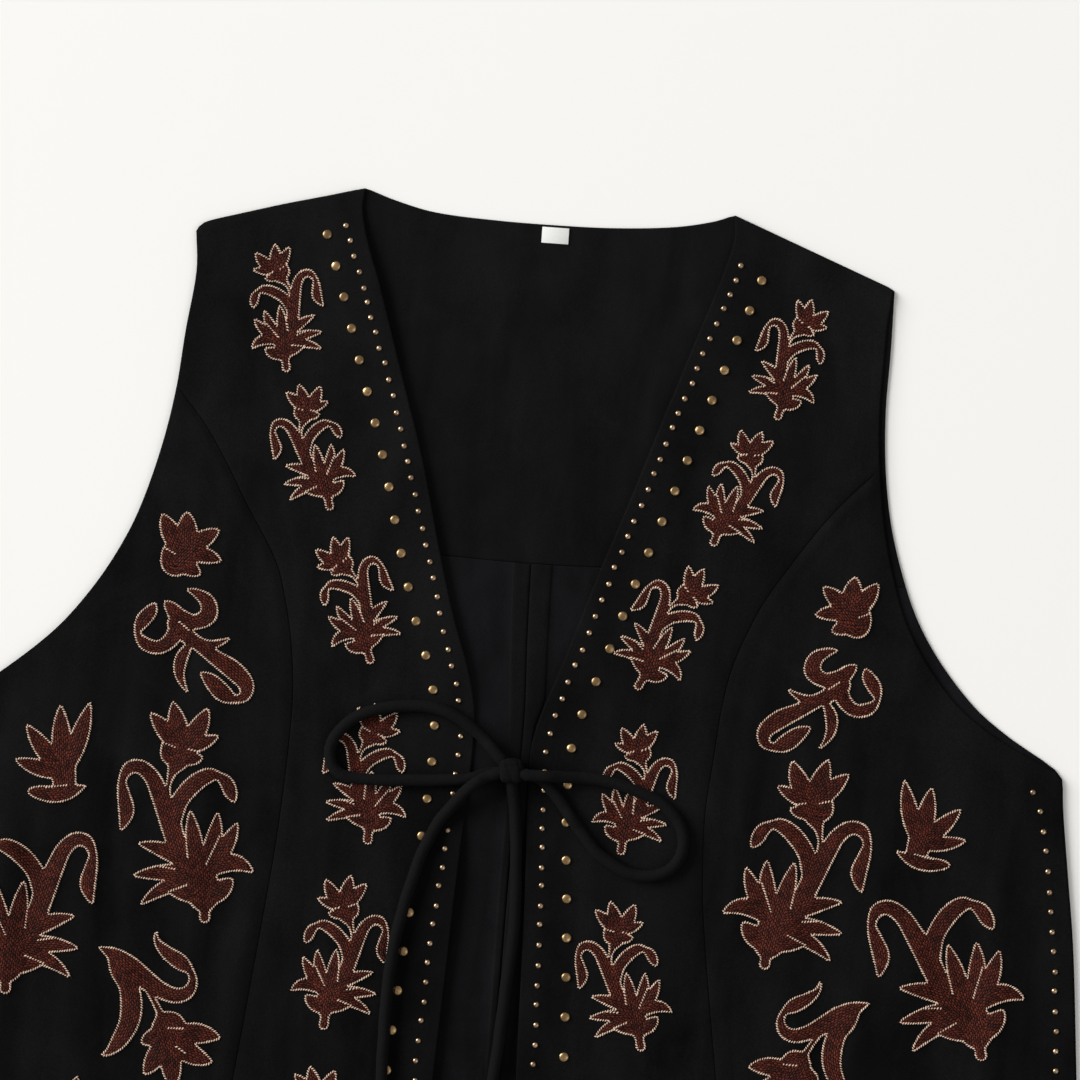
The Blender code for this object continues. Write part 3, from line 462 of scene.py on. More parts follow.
# Where each motif is sewn: its heart, its size and its turn in degrees
MOTIF_PLACES = {
    "front_centre_right": (
        Place("spray", 0.60, -128.7, 206.4, 18.6, True, 0.93),
        Place("spray", 0.60, -104.2, 138.5, 9.2, False, 0.94),
        Place("spray", 0.60, -79.0, 63.4, 30.0, True, 0.96),
        Place("spray", 0.68, -68.9, -24.8, -8.0, False, 0.90),
        Place("spray", 0.71, -81.8, -117.0, 2.8, True, 0.96),
        Place("spray", 0.70, -75.0, -211.0, 5.0, False, 0.95),
        Place("bud", 0.75, -88.0, -264.0, 4.0, True, 1.0)),
    "front_centre_left": (
        Place("spray", 0.565, 123.7, 199.8, -20.8, False, 0.965),
        Place("spray", 0.60, 98.1, 133.9, -9.8, True, 0.90),
        Place("spray", 0.62, 67.5, 60.4, -33.8, False, 0.97),
        Place("spray", 0.62, 60.0, -21.9, 3.2, True, 0.93),
        Place("spray", 0.69, 70.8, -117.2, 7.2, False, 0.965),
        Place("spray", 0.70, 72.0, -210.0, 2.0, True, 0.95),
        Place("bud", 0.75, 80.0, -263.0, -4.0, False, 1.0)),
    "front_side_right": (
        Place("bud", 1.0, -170.3, 96.0, 4.2, False, 1.0),
        Place("scroll", 1.0, -167.4, 55.9, 4.2, False, 1.0),
        Place("sprig", 1.0, -151.8, -62.3, 4.2, False, 1.0),
        Place("bloom", 1.0, -223.5, -17.1, 4.2, False, 1.0),
        Place("fork", 1.0, -241.4, -104.2, 2.0, True, 1.0),
        Place("vine", 1.0, -173.3, -123.7, 4.2, False, 1.0),
        Place("sprig", 0.95, -214.0, -250.0, 2.0, True, 1.0),
        Place("bloom", 0.78, -165.0, -264.0, 4.0, False, 1.0),
        Place("bloom", 0.78, -266.0, -192.0, 0.0, True, 1.0)),
    "front_side_left": (
        Place("bud", 0.93, 164.1, 89.5, -7.8, True, 1.0),
        Place("scroll", 0.97, 158.1, 50.0, -5.8, True, 1.0),
        Place("sprig", 1.01, 139.2, -65.5, -4.5, True, 0.97),
        Place("bloom", 0.95, 207.7, -21.5, -5.8, True, 0.90),
        Place("fork", 1.06, 236.6, -102.0, 13.2, False, 1.0),
        Place("vine", 0.90, 164.8, -121.3, -4.6, True, 1.0),
        Place("sprig", 0.95, 212.0, -250.0, -2.0, False, 1.0),
        Place("bloom", 0.78, 162.0, -264.0, -4.0, True, 1.0),
        Place("bloom", 0.78, 264.0, -192.0, 0.0, False, 1.0)),
}


def table_at(rows, key, column=1):
    """Read a smooth curve through a column of a table whose first column is the key."""
    keys, values = np.array([(row[0], row[column]) for row in rows], float).T
    if keys[0] > keys[-1]:
        keys, values = keys[::-1], values[::-1]
    key = np.clip(key, keys[0], keys[-1])
    i = np.clip(np.searchsorted(keys, key) - 1, 0, len(keys) - 2)
    before = np.maximum(np.arange(len(keys)) - 1, 0)
    after = np.minimum(np.arange(len(keys)) + 1, len(keys) - 1)
    slope = (values[after] - values[before]) / (keys[after] - keys[before])
    span = keys[i + 1] - keys[i]
    t = (key - keys[i]) / span
    return ((2 * t**3 - 3 * t**2 + 1) * values[i] + (t**3 - 2 * t**2 + t) * span * slope[i]
            + (3 * t**2 - 2 * t**3) * values[i + 1] + (t**3 - t**2) * span * slope[i + 1])


def ease(share):
    """Rise smoothly from 0 to 1."""
    share = np.clip(share, 0.0, 1.0)
    return share * share * (3 - 2 * share)


def side_sign(side):
    return 1 if side == "left" else -1


def outline_at(side, up):
    """Outer outline: the side seam below the underarm, the armhole above it."""
    below = table_at(SIDE_SEAM[side], up)
    return np.where(up <= ARMHOLE[side][-1].up, below, table_at(ARMHOLE[side], up))


def hem_at(across):
    """The hem's height, a shallow curve that rises towards the side seams."""
    share = (across / HEM_HALF_WIDTH) ** 2
    return HEM_UP + (HEM_SIDE_UP - HEM_UP) * share


def border_up(across_at_hem, up):
    """Height of a point on an upright border, which starts on the curved hem."""
    return up + (hem_at(across_at_hem) - HEM_UP) * (1 - ease((up - HEM_UP) / HEM_FADE))


def front_armhole(side, up):
    return outline_at(side, up) - side_sign(side) * table_at(FRONT_ARMHOLE_INSET[side], up)


def back_armhole(side, up):
    return outline_at(side, up) - side_sign(side) * table_at(BACK_ARMHOLE_INSET[side], up)


def fold_lift(folds, across, up):
    """Sum of the soft ridges and troughs at each point."""
    lift = np.zeros(np.broadcast(across, up).shape)
    for fold in folds:
        run_across = fold.across_high - fold.across_low
        run_up = fold.up_high - fold.up_low
        length_squared = run_across**2 + run_up**2
        from_low = across - fold.across_low
        along = (from_low * run_across + (up - fold.up_low) * run_up) / length_squared
        away = np.abs(from_low * run_up - (up - fold.up_low) * run_across)
        away = np.minimum(away / math.sqrt(length_squared) / fold.half_width, 1.0)
        ends = ease(np.minimum(along, 1 - along) * 3)
        lift += fold.height * ends * (1 - away**2) ** 2
    return lift


def ripple(across, up, seed, length_across, length_up):
    """Uneven waves between about -1 and 1, the same on every run."""
    random = np.random.default_rng(seed)
    total = np.zeros(np.broadcast(across, up).shape)
    for _ in range(RIPPLE_WAVES):
        turn = random.uniform(0, math.tau)
        phase = random.uniform(0, math.tau)
        stretch = random.uniform(0.7, 1.5)
        total += np.sin(across * math.cos(turn) * math.tau * stretch / length_across
                        + up * math.sin(turn) * math.tau * stretch / length_up + phase)
    return total / math.sqrt(RIPPLE_WAVES)


def front_lift(side, across, up):
    """How far a front stands clear of the back beneath it."""
    sign = side_sign(side)
    from_edge = sign * (across - table_at(FRONT_EDGE[side], up))
    at_edge = FRONT_LIFT * (1 - ease(from_edge / FRONT_LIFT_WIDTH))
    pressed = ease((np.abs(up) - TIE_PRESS) / TIE_PRESS_FADE)
    neck = ease((NECK_UP - up) / TIE_PRESS_FADE)
    settle = ease(sign * (outline_at(side, up) - across) / SIDE_SETTLE)
    uneven = RIPPLE_HEIGHT * ripple(across, up, RIPPLE_SEED[side], *RIPPLE_LENGTHS)
    soft = fold_lift(FOLDS, across, up) + fold_lift(CREASES[side], across, up) + uneven
    lift = at_edge * pressed * neck + soft * settle
    return (lift + np.sqrt(lift**2 + LEAST_LIFT**2)) / 2


def front_under(side, across, up):
    return WALL + GAP + front_lift(side, across, up)


def seam_relief(side, across, up):
    """The soft valley along the curved seam, with a low ridge on its outer side."""
    seam = CURVED_SEAM[side]
    away = side_sign(side) * (across - table_at(seam, up))
    valley = -VALLEY_DEPTH * np.exp(-(away / VALLEY_WIDTH) ** 2)
    ridge = PUCKER_HEIGHT * np.exp(-((away - PUCKER_FROM_SEAM) / PUCKER_WIDTH) ** 2)
    return (valley + ridge) * ease((seam[0].up + SEAM_START - up) / SEAM_FADE)


def front_top(side, across, up):
    return front_under(side, across, up) + WALL + seam_relief(side, across, up)


def back_seam_at(up):
    return BACK_SEAM_ACROSS + table_at(SEAM_LEAN, up)


def back_top(across, up):
    """Height of the back's inside, with the allowances of its middle seam pressed open."""
    wavy = BACK_RIPPLE_HEIGHT * ripple(across, up, BACK_RIPPLE_SEED, *BACK_RIPPLE_LENGTHS)
    offset = across - back_seam_at(up)
    strip = np.where(offset > 0, table_at(ALLOWANCE_WIDTH["left"], up),
                     table_at(ALLOWANCE_WIDTH["right"], up))
    raised = ease((strip - np.abs(offset)) / ALLOWANCE_EDGE + 0.5)
    raised = raised * (up < table_at(YOKE_SEAM, across))
    groove = SEAM_GROOVE * np.exp(-(offset / SEAM_GROOVE_WIDTH) ** 2)
    return WALL + wavy + (ALLOWANCE_THICKNESS - groove) * raised


def cloth_top(across, up):
    """Height of the highest cloth at each point."""
    height = back_top(across, up)
    for side in ("right", "left"):
        inside = side_sign(side) * (across - table_at(FRONT_EDGE[side], up)) > 0
        height = np.where(inside, front_top(side, across, up), height)
    return height


def metres(across, up, height):
    """Points in metres from tables in millimetres."""
    return np.stack(np.broadcast_arrays(across, up - MIDDLE_UP, height), axis=-1) * MM


def patch_points(borders, u, v):
    """Points of the patch between four border curves (low, high, inner, outer)."""
    low, high, inner, outer = borders
    u, v = np.broadcast_arrays(u, v)
    ends = [np.array(low(np.float64(s))) for s in (0.0, 1.0)]
    ends += [np.array(high(np.float64(s))) for s in (0.0, 1.0)]
    result = []
    for k in range(2):
        ruled_up = low(u)[k] * (1 - v) + high(u)[k] * v
        ruled_across = inner(v)[k] * (1 - u) + outer(v)[k] * u
        corners = ((ends[0][k] * (1 - u) + ends[1][k] * u) * (1 - v)
                   + (ends[2][k] * (1 - u) + ends[3][k] * u) * v)
        result.append(ruled_up + ruled_across - corners)
    return result


def rimmed(length, count):
    """Distances along a run: close together at both rims, even between them."""
    rim = np.array(RIM_STEPS)
    middle = np.linspace(rim[-1], length - rim[-1], count + 1)[1:-1]
    return np.concatenate([rim, middle, (length - rim)[::-1]])


def rolled(distance, radius, depth):
    """How far a folded edge turns down at each distance from it."""
    share = np.clip(distance / radius, 0, 1)
    return depth * (1 - np.sqrt(1 - (1 - share) ** 2))


def shell_mesh(name, across, up, top, under):
    """Close a thin shell between two faces over one grid; both meet at its rim."""
    rows, columns = across.shape
    upper = metres(across, up, top).reshape(-1, 3)
    lower = metres(across, up, under)[1:-1, 1:-1].reshape(-1, 3)
    number = np.arange(rows * columns).reshape(rows, columns)
    beneath = number.copy()
    beneath[1:-1, 1:-1] = rows * columns + np.arange(lower.shape[0]).reshape(
        rows - 2, columns - 2)
    corner = (slice(None, -1), slice(None, -1)), (slice(None, -1), slice(1, None)), (
        slice(1, None), slice(1, None)), (slice(1, None), slice(None, -1))
    over = np.stack([number[c] for c in corner], axis=-1).reshape(-1, 4)
    below = np.stack([beneath[c] for c in corner[::-1]], axis=-1).reshape(-1, 4)
    mesh = bpy.data.meshes.new(name)
    mesh.from_pydata(np.concatenate([upper, lower]).tolist(), [],
                     np.concatenate([over, below]).tolist())
    outward(mesh)
    return mesh


def mark_points(mesh, name, values):
    """Store one value at each point; the points after those given get nought."""
    attribute = mesh.attributes.new(name, "FLOAT", "POINT")
    stored = np.zeros(len(mesh.vertices), dtype=np.float32)
    stored[:len(values)] = values
    attribute.data.foreach_set("value", stored)


def outward(mesh):
    """Point every face outwards."""
    bm = bmesh.new()
    bm.from_mesh(mesh)
    bmesh.ops.recalc_face_normals(bm, faces=bm.faces)
    bm.to_mesh(mesh)
    bm.free()
    mesh.update()


def mesh_of(name, bm):
    """Keep a finished bmesh as a mesh."""
    mesh = bpy.data.meshes.new(name)
    bm.to_mesh(mesh)
    bm.free()
    return mesh


def placed(name, data):
    """Put a new object in the scene."""
    thing = bpy.data.objects.new(name, data)
    bpy.context.scene.collection.objects.link(thing)
    return thing


def add_piece(name, mesh, material, nodes=()):
    """Show a finished mesh, with its finish, on the one body of the vest."""
    for old in [o for o in bpy.data.objects if o.name == name]:
        bpy.data.objects.remove(old, do_unlink=True)
    piece = placed(name, mesh)
    mesh.materials.clear()
    mesh.materials.append(material)
    mesh.shade_smooth()
    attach(piece, "root")
    if nodes:
        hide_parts(*nodes)
    return piece


class Nodes:
    """Adds nodes to a tree and joins them."""

    def node(self, kind, inputs=None, **settings):
        node = self.tree.nodes.new(kind)
        for label, value in settings.items():
            setattr(node, label, value)
        for label, value in (inputs or {}).items():
            if isinstance(value, bpy.types.NodeSocket):
                self.tree.links.new(value, node.inputs[label])
            else:
                node.inputs[label].default_value = value
        return node

    def math(self, operation, *values):
        return self.node("ShaderNodeMath", dict(enumerate(values)),
                         operation=operation).outputs[0]

    def vector(self, **axes):
        return self.node("ShaderNodeCombineXYZ", axes).outputs[0]


class Shading(Nodes):
    """Builds one new material."""

    def __init__(self, name):
        self.material = bpy.data.materials.new(name)
        self.material.use_nodes = True
        self.tree = self.material.node_tree
        self.shader = self.tree.nodes["Principled BSDF"]
        self.place = self.tree.nodes.new("ShaderNodeTexCoord")

    def set(self, **values):
        for label, value in values.items():
            self.shader.inputs[label.replace("_", " ")].default_value = value

    def noise(self, scale, detail=2.0, roughness=0.5, vector=None, distortion=0.0):
        return self.node("ShaderNodeTexNoise", {
            "Vector": vector or self.place.outputs["Object"], "Scale": scale,
            "Detail": detail, "Roughness": roughness, "Distortion": distortion}
        ).outputs["Fac"]

    def blend(self, share, first, second):
        """Mix two colours by a share that varies over the surface."""
        first, second = (
            color if isinstance(color, bpy.types.NodeSocket) else (*color[:3], 1.0)
            for color in (first, second))
        return self.node("ShaderNodeMix", {0: share, 6: first, 7: second},
                         data_type="RGBA").outputs[2]

    def spread(self, value, low, high):
        """Stretch a value so that low becomes 0 and high becomes 1."""
        return self.node("ShaderNodeMapRange", {
            "Value": value, "From Min": low, "From Max": high}).outputs[0]

    def color(self, socket):
        self.tree.links.new(socket, self.shader.inputs["Base Color"])

    def roughness(self, value, low, high):
        socket = self.node("ShaderNodeMapRange", {
            "Value": value, "To Min": low, "To Max": high}).outputs[0]
        self.tree.links.new(socket, self.shader.inputs["Roughness"])

    def bump(self, height, strength, distance, normal=None):
        inputs = {"Height": height, "Strength": strength, "Distance": distance}
        if normal:
            inputs["Normal"] = normal
        return self.node("ShaderNodeBump", inputs).outputs["Normal"]

    def finish(self, normal):
        self.tree.links.new(normal, self.shader.inputs["Normal"])
        return self.material


def shade_of(color, factor):
    return tuple(min(c * factor, 1.0) for c in color[:3])


def suede_finish(name, color, sheen, nap, turned=None):
    """Matt brushed nap with painted sheen; the other face's colour where the cloth is turned over.
    """
    paint = Shading(name)
    paint.set(Roughness=0.95, Specular_IOR_Level=0.035, Sheen_Weight=sheen,
              Sheen_Roughness=0.6)
    patches = paint.spread(paint.noise(38.0, 4.0, 0.6, distortion=0.6), 0.33, 0.67)
    pulled = paint.node("ShaderNodeMapping", {
        "Vector": paint.place.outputs["Object"], "Scale": STROKE_SCALE}).outputs[0]
    strokes = paint.spread(
        paint.noise(1.0, 3.0, 0.55, vector=pulled, distortion=0.5), 0.35, 0.65)
    fibres = paint.noise(*FIBRES)
    split = paint.node("ShaderNodeSeparateXYZ", {"Vector": paint.place.outputs["Object"]})
    # Painted sheen: the nap is painted lighter from the hem up to the neck, in place of the lamp's
    # sheen on it
    tint_and_sheen_drift = paint.spread(split.outputs[1], *SHEEN_DRIFT_FROM_TO)
    brushed = paint.math("MULTIPLY_ADD", strokes, 0.40, paint.math("MULTIPLY", patches, 0.22))
    brushed = paint.math("MULTIPLY_ADD", tint_and_sheen_drift, 0.38, brushed)

    def napped(tint):
        base = paint.blend(brushed, shade_of(tint, 0.24), shade_of(tint, 1.60))
        tips = paint.blend(brushed, shade_of(tint, 0.75), shade_of(tint, 3.05))
        return paint.blend(paint.spread(fibres, 0.35, 0.75), base, tips)

    if turned:
        face = paint.node("ShaderNodeAttribute", attribute_name=TURNED).outputs["Fac"]
        paint.color(paint.blend(face, napped(color), napped(turned)))
    else:
        paint.color(napped(color))
    paint.roughness(fibres, 0.88, 1.0)
    coarse = paint.bump(paint.noise(420.0, 2.0, 0.6), 0.35 * nap, 0.00025)
    return paint.finish(paint.bump(fibres, 0.5 * nap, 0.00012, coarse))


def cord_finish(name, color):
    """A narrow tube of the same suede, with the pull marks of its turning."""
    paint = Shading(name)
    paint.set(Specular_IOR_Level=0.06, Sheen_Weight=0.004, Sheen_Roughness=0.5)
    fibres = paint.noise(*FIBRES)
    paint.color(paint.blend(paint.spread(fibres, 0.3, 0.75), shade_of(color, 0.8),
                            shade_of(color, 1.8)))
    paint.roughness(fibres, 0.85, 1.0)
    pulled = paint.node("ShaderNodeMapping", {
        "Vector": paint.place.outputs["UV"], "Scale": (0.35, 5.0, 1.0)}).outputs[0]
    marks = paint.bump(paint.noise(1.0, 3.0, 0.6, vector=pulled), 0.6, 0.0003)
    return paint.finish(paint.bump(fibres, 0.5, 0.00012, marks))


def label_finish(name, color):
    """White satin tape with a fine weave."""
    paint = Shading(name)
    paint.set(Roughness=0.55, Sheen_Weight=0.1)
    weave = []
    for turn in ("X", "Y"):
        weave.append(paint.node("ShaderNodeTexWave", {
            "Vector": paint.place.outputs["Object"], "Scale": 900.0, "Distortion": 0.4},
            bands_direction=turn).outputs["Fac"])
    both = paint.math("MULTIPLY", *weave)
    paint.color(paint.blend(both, shade_of(color, 0.86), color))
    return paint.finish(paint.bump(both, 0.4, 0.0001))


def fill_finish(name, color, row, stitch):
    """Rows of chain stitch that follow each leaf, on the piece's own UV in millimetres."""
    paint = Shading(name)
    paint.set(Specular_IOR_Level=0.1)
    split = paint.node("ShaderNodeSeparateXYZ", {"Vector": paint.place.outputs["UV"]})
    wobble = paint.math("MULTIPLY", paint.noise(330.0, 2.0), 1.9)
    rows = paint.math("DIVIDE", paint.math("ADD", split.outputs[1], wobble), row)
    across = paint.math("ABSOLUTE", paint.math("SINE", paint.math("MULTIPLY", rows, math.pi)))
    shift = paint.math("MULTIPLY", paint.math("FLOOR", rows), 0.43)
    place_along = paint.math("ADD", paint.math("DIVIDE", split.outputs[0], stitch), shift)
    along = paint.math("ABSOLUTE", paint.math(
        "SINE", paint.math("MULTIPLY", place_along, math.pi)))
    # The rounded profile of each row of thread; below it also paints a highlight on the crown and
    # shade between rows
    thread = paint.math("MULTIPLY", paint.math("POWER", across, 0.6),
                        paint.math("MULTIPLY_ADD", along, 0.65, 0.35))
    twist = paint.noise(950.0, 3.0, 0.65)
    cell = paint.vector(X=paint.math("FLOOR", place_along), Y=paint.math("FLOOR", rows))
    single = paint.node("ShaderNodeTexWhiteNoise", {"Vector": cell}).outputs["Value"]
    # Painted highlight and painted shade from the thread's profile, mixed with random flecks of the
    # twist
    shade = paint.math("MULTIPLY_ADD", twist, 1.3, paint.math("SUBTRACT", thread, 0.7))
    patches = paint.spread(paint.noise(120.0, 3.0, 0.6), 0.35, 0.7)
    patches = paint.math("MULTIPLY_ADD", single, 0.6, paint.math("MULTIPLY", patches, 0.4))
    base = paint.blend(patches, shade_of(color, 0.5), shade_of(color, 2.7))
    dark = paint.blend(patches, shade_of(color, 0.04), shade_of(color, 0.12))
    paint.color(paint.blend(paint.spread(shade, 0.42, 0.60), dark, base))
    paint.roughness(twist, 0.5, 0.8)
    return paint.finish(paint.bump(thread, 0.9, 0.0005))


def thread_finish(name, color):
    """Pale twisted thread of the outlines."""
    paint = Shading(name)
    paint.set(Specular_IOR_Level=0.3)
    dye = paint.spread(paint.noise(300.0, 3.0, 0.6), 0.3, 0.7)
    fibre = paint.noise(3200.0, 2.0, 0.6)
    base = paint.blend(dye, shade_of(color, 0.6), shade_of(color, 1.3))
    paint.color(paint.blend(paint.spread(fibre, 0.3, 0.62), shade_of(color, 0.5), base))
    paint.roughness(fibre, 0.5, 0.75)
    return paint.finish(paint.bump(fibre, 0.5, 0.0002))


def brass_finish(name, color, tarnish):
    """Antique brass, dull in the hollows of its patina."""
    paint = Shading(name)
    paint.set(Metallic=1.0)
    patina = paint.spread(paint.noise(700.0, 4.0, 0.65), 0.35, 0.68)
    tint_and_sheen_drift = paint.spread(paint.noise(75.0, 1.0), 0.35, 0.65)
    clean = paint.blend(tint_and_sheen_drift, shade_of(color, 0.85), shade_of(color, 1.5))
    paint.color(paint.blend(patina, shade_of(color, tarnish), clean))
    paint.roughness(patina, 0.42, 0.24)
    return paint.finish(paint.bump(paint.noise(1400.0, 2.0), 0.15, 0.0001))


def floor_finish(name, color):
    """Plain pale surface."""
    paint = Shading(name)
    paint.set(Roughness=0.9, Specular_IOR_Level=0.2)
    tone = paint.spread(paint.noise(1.2, 2.0), 0.3, 0.7)
    paint.color(paint.blend(tone, shade_of(color, 0.985), color))
    return paint.finish(paint.bump(paint.noise(300.0, 2.0), 0.05, 0.0002))


def node_tree(name, sizes, counts=()):
    """A geometry tree with one geometry in and out, and named inputs for its sizes."""
    tree = bpy.data.node_groups.new(name, "GeometryNodeTree")
    tree.interface.new_socket("Geometry", in_out="INPUT", socket_type="NodeSocketGeometry")
    tree.interface.new_socket("Geometry", in_out="OUTPUT", socket_type="NodeSocketGeometry")
    for kind, rows in (("NodeSocketFloat", sizes), ("NodeSocketInt", counts)):
        for label, value in rows:
            socket = tree.interface.new_socket(label, in_out="INPUT", socket_type=kind)
            socket.default_value = value
    tree.interface.new_socket("Finish", in_out="INPUT", socket_type="NodeSocketMaterial")
    return tree


class Steps(Nodes):
    """Builds one geometry tree."""

    def __init__(self, tree):
        self.tree = tree
        self.start = tree.nodes.new("NodeGroupInput")
        self.end = tree.nodes.new("NodeGroupOutput")

    def size(self, label):
        return self.start.outputs[label]

    def finish(self, geometry):
        real = self.node("GeometryNodeRealizeInstances", {"Geometry": geometry})
        dressed = self.node("GeometryNodeSetMaterial", {
            "Geometry": real.outputs[0], "Material": self.size("Finish")})
        self.tree.links.new(dressed.outputs[0], self.end.inputs[0])


def grown_mesh(guide, tree, values, name):
    """Run a tree on a guide, keep the result as a plain mesh and remove the guide."""
    modifier = guide.modifiers.new(name, "NODES")
    modifier.node_group = tree
    for item in tree.interface.items_tree:
        if item.in_out == "INPUT" and item.name in values:
            modifier[item.identifier] = values[item.name]
    guide.update_tag()
    bpy.context.view_layer.update()
    depsgraph = bpy.context.evaluated_depsgraph_get()
    mesh = bpy.data.meshes.new_from_object(guide.evaluated_get(depsgraph))
    mesh.name = name
    bpy.data.objects.remove(guide, do_unlink=True)
    if not mesh.polygons:
        raise RuntimeError(f"{name} came out empty")
    return mesh


def stitch_tree():
    """Slanted links of thread, one after another along every guide line."""
    tree = node_tree("stitches along a line", (
        ("Stitch pitch", 1.8 * MM), ("Stitch length", 2.3 * MM), ("Thread width", 0.85 * MM),
        ("Slant", 0.78)), (("Seed", 3),))
    steps = Steps(tree)
    points = steps.node("GeometryNodeResampleCurve", {
        "Curve": steps.size("Geometry"), "Length": steps.size("Stitch pitch")}, mode="LENGTH")
    tangent = steps.node("GeometryNodeInputTangent")
    facing = steps.node("FunctionNodeAlignRotationToVector", {
        "Vector": tangent.outputs[0]}, axis="X", pivot_axis="Z")
    tilt = steps.vector(Z=steps.size("Slant"))
    uneven = steps.node("FunctionNodeRandomValue", {
        0: (-0.15, -0.15, -0.3), 1: (0.15, 0.15, 0.3), "Seed": steps.size("Seed")},
        data_type="FLOAT_VECTOR")
    turned = steps.node("ShaderNodeVectorMath", {
        0: tilt, 1: uneven.outputs[0]}, operation="ADD")
    slanted = steps.node("FunctionNodeRotateRotation", {
        0: facing.outputs[0], 1: turned.outputs[0]}, rotation_space="LOCAL")
    width = steps.size("Thread width")
    scale = steps.vector(X=steps.size("Stitch length"), Y=width, Z=width)
    vary = steps.node("FunctionNodeRandomValue", {
        2: 0.8, 3: 1.18, "Seed": steps.size("Seed")}, data_type="FLOAT")
    varied = steps.node("ShaderNodeVectorMath", {
        0: scale, "Scale": vary.outputs[1]}, operation="SCALE")
    bead = steps.node("GeometryNodeMeshUVSphere", {
        "Segments": 6, "Rings": 4, "Radius": 0.5})
    round_bead = steps.node("GeometryNodeSetShadeSmooth", {"Geometry": bead.outputs[0]})
    placed = steps.node("GeometryNodeInstanceOnPoints", {
        "Points": points.outputs[0], "Instance": round_bead.outputs[0],
        "Rotation": slanted.outputs[0], "Scale": varied.outputs[0]})
    steps.finish(placed.outputs[0])
    return tree


def stud_tree():
    """Low domes, one on each guide point, each set a little askew."""
    tree = node_tree("studs on points", (
        ("Diameter", 3.0 * MM), ("Height", 0.8 * MM), ("Roundness", 1.0), ("Tilt", 0.1)),
        (("Sides", 10), ("Rings", 6), ("Seed", 1)))
    steps = Steps(tree)
    dome = steps.node("GeometryNodeMeshUVSphere", {
        "Segments": steps.size("Sides"), "Rings": steps.size("Rings"), "Radius": 0.5})
    across = steps.size("Diameter")
    scale = steps.vector(X=across, Y=across, Z=steps.math("MULTIPLY", steps.size("Height"), 2.0))
    where = steps.node("ShaderNodeSeparateXYZ", {
        "Vector": steps.node("GeometryNodeInputPosition").outputs[0]}).outputs
    level = steps.math("ABSOLUTE", steps.math("MULTIPLY", where[2], 2.0))
    level = steps.math("MULTIPLY", steps.math("POWER", level, steps.size("Roundness")), 0.5)
    level = steps.math("MULTIPLY", level, steps.math("SIGN", where[2]))
    flatter = steps.node("GeometryNodeSetPosition", {
        "Geometry": dome.outputs[0],
        "Position": steps.vector(X=where[0], Y=where[1], Z=level)})
    shaped = steps.node("GeometryNodeTransform", {
        "Geometry": flatter.outputs[0], "Scale": scale})
    polished = steps.node("GeometryNodeSetShadeSmooth", {"Geometry": shaped.outputs[0]})
    tilt = steps.size("Tilt")
    back = steps.math("MULTIPLY", tilt, -1.0)
    askew = steps.node("FunctionNodeRandomValue", {
        0: steps.vector(X=back, Y=back), 1: steps.vector(X=tilt, Y=tilt),
        "Seed": steps.size("Seed")}, data_type="FLOAT_VECTOR")
    placed = steps.node("GeometryNodeInstanceOnPoints", {
        "Points": steps.size("Geometry"), "Instance": polished.outputs[0],
        "Rotation": askew.outputs[0]})
    steps.finish(placed.outputs[0])
    return tree


def stud_places(first_up, spacing, edge_rows, sign):
    """Walk down an edge and set a stud beside it at every pitch."""
    places = []
    up = first_up
    while up > STUD_LAST_UP:
        edge = float(table_at(edge_rows, up))
        places.append(Point(edge + sign * float(table_at(spacing, up, 2)), up))
        slope = edge - float(table_at(edge_rows, up - 1))
        up -= float(table_at(spacing, up)) / math.hypot(1, slope)
    return places


def large_stud_places(side):
    return stud_places(STUD_FIRST_UP[side], STUD_SPACING, FRONT_EDGE[side], side_sign(side))


def small_stud_places(side):
    sign = side_sign(side)
    return (stud_places(SMALL_FIRST_UP[side], SMALL_SPACING[side], FRONT_EDGE[side], sign)
            + stud_places(SIDE_FIRST_UP, SIDE_SPACING, SIDE_SEAM[side], -sign))


def resting_height(across, up):
    """Height of a cord's middle line where it lies on the cloth and the large studs."""
    angles = np.arange(12) * math.tau / 12
    around = [Point(across, up)] + [
        Point(across + CORD_RADIUS * c, up + CORD_RADIUS * s)
        for c, s in zip(np.cos(angles), np.sin(angles))]
    highest = cloth_top(np.array([p.across for p in around]), np.array([p.up for p in around]))
    studs = large_stud_places("right") + large_stud_places("left")
    raised = [STUD_LIFT if any(math.dist(p, s) < STUD_REACH for s in studs) else 0.0
              for p in around]
    return float(np.max(highest + raised)) + GAP + CORD_RADIUS


def curve_through(points, step):
    """Even points on a smooth curve through the given points."""
    dense = []
    padded = [points[0] * 2 - points[1]] + points + [points[-1] * 2 - points[-2]]
    for a, b, c, d in zip(padded, padded[1:], padded[2:], padded[3:]):
        for k in range(CURVE_FINENESS):
            t = k / CURVE_FINENESS
            dense.append(0.5 * (2 * b + (c - a) * t + (2 * a - 5 * b + 4 * c - d) * t**2
                                + (3 * b - a - 3 * c + d) * t**3))
    dense.append(points[-1])
    length = sum((b - a).length for a, b in zip(dense, dense[1:]))
    count = max(round(length / step), 2)
    places, run = [dense[0]], 0.0
    for a, b in zip(dense, dense[1:]):
        run += (b - a).length
        if run >= length * len(places) / count and len(places) < count:
            places.append(b)
    places.append(dense[-1])
    return places


def tie_line(name):
    """The middle line of one stretch of the tie, from inside its knot, resting on the cloth."""
    route = [Vector((across, up, resting_height(across, up) + above))
             for across, up, above in TIE_ROUTES[name]]
    coarse = curve_through(route, CORD_STEP / 2)
    for point in coarse:
        point.z = max(point.z, resting_height(point.x, point.y))
    heart = Vector((KNOT_ACROSS, 0, (KNOT_TOP + KNOT_BASE) / 2))
    coarse.insert(0, coarse[0] + (heart - coarse[0]).normalized() * CORD_HIDDEN)
    if "loop" in name:
        coarse.append(coarse[-1] + (heart - coarse[-1]).normalized() * CORD_HIDDEN)
    return curve_through(coarse, TUBE_STEP)


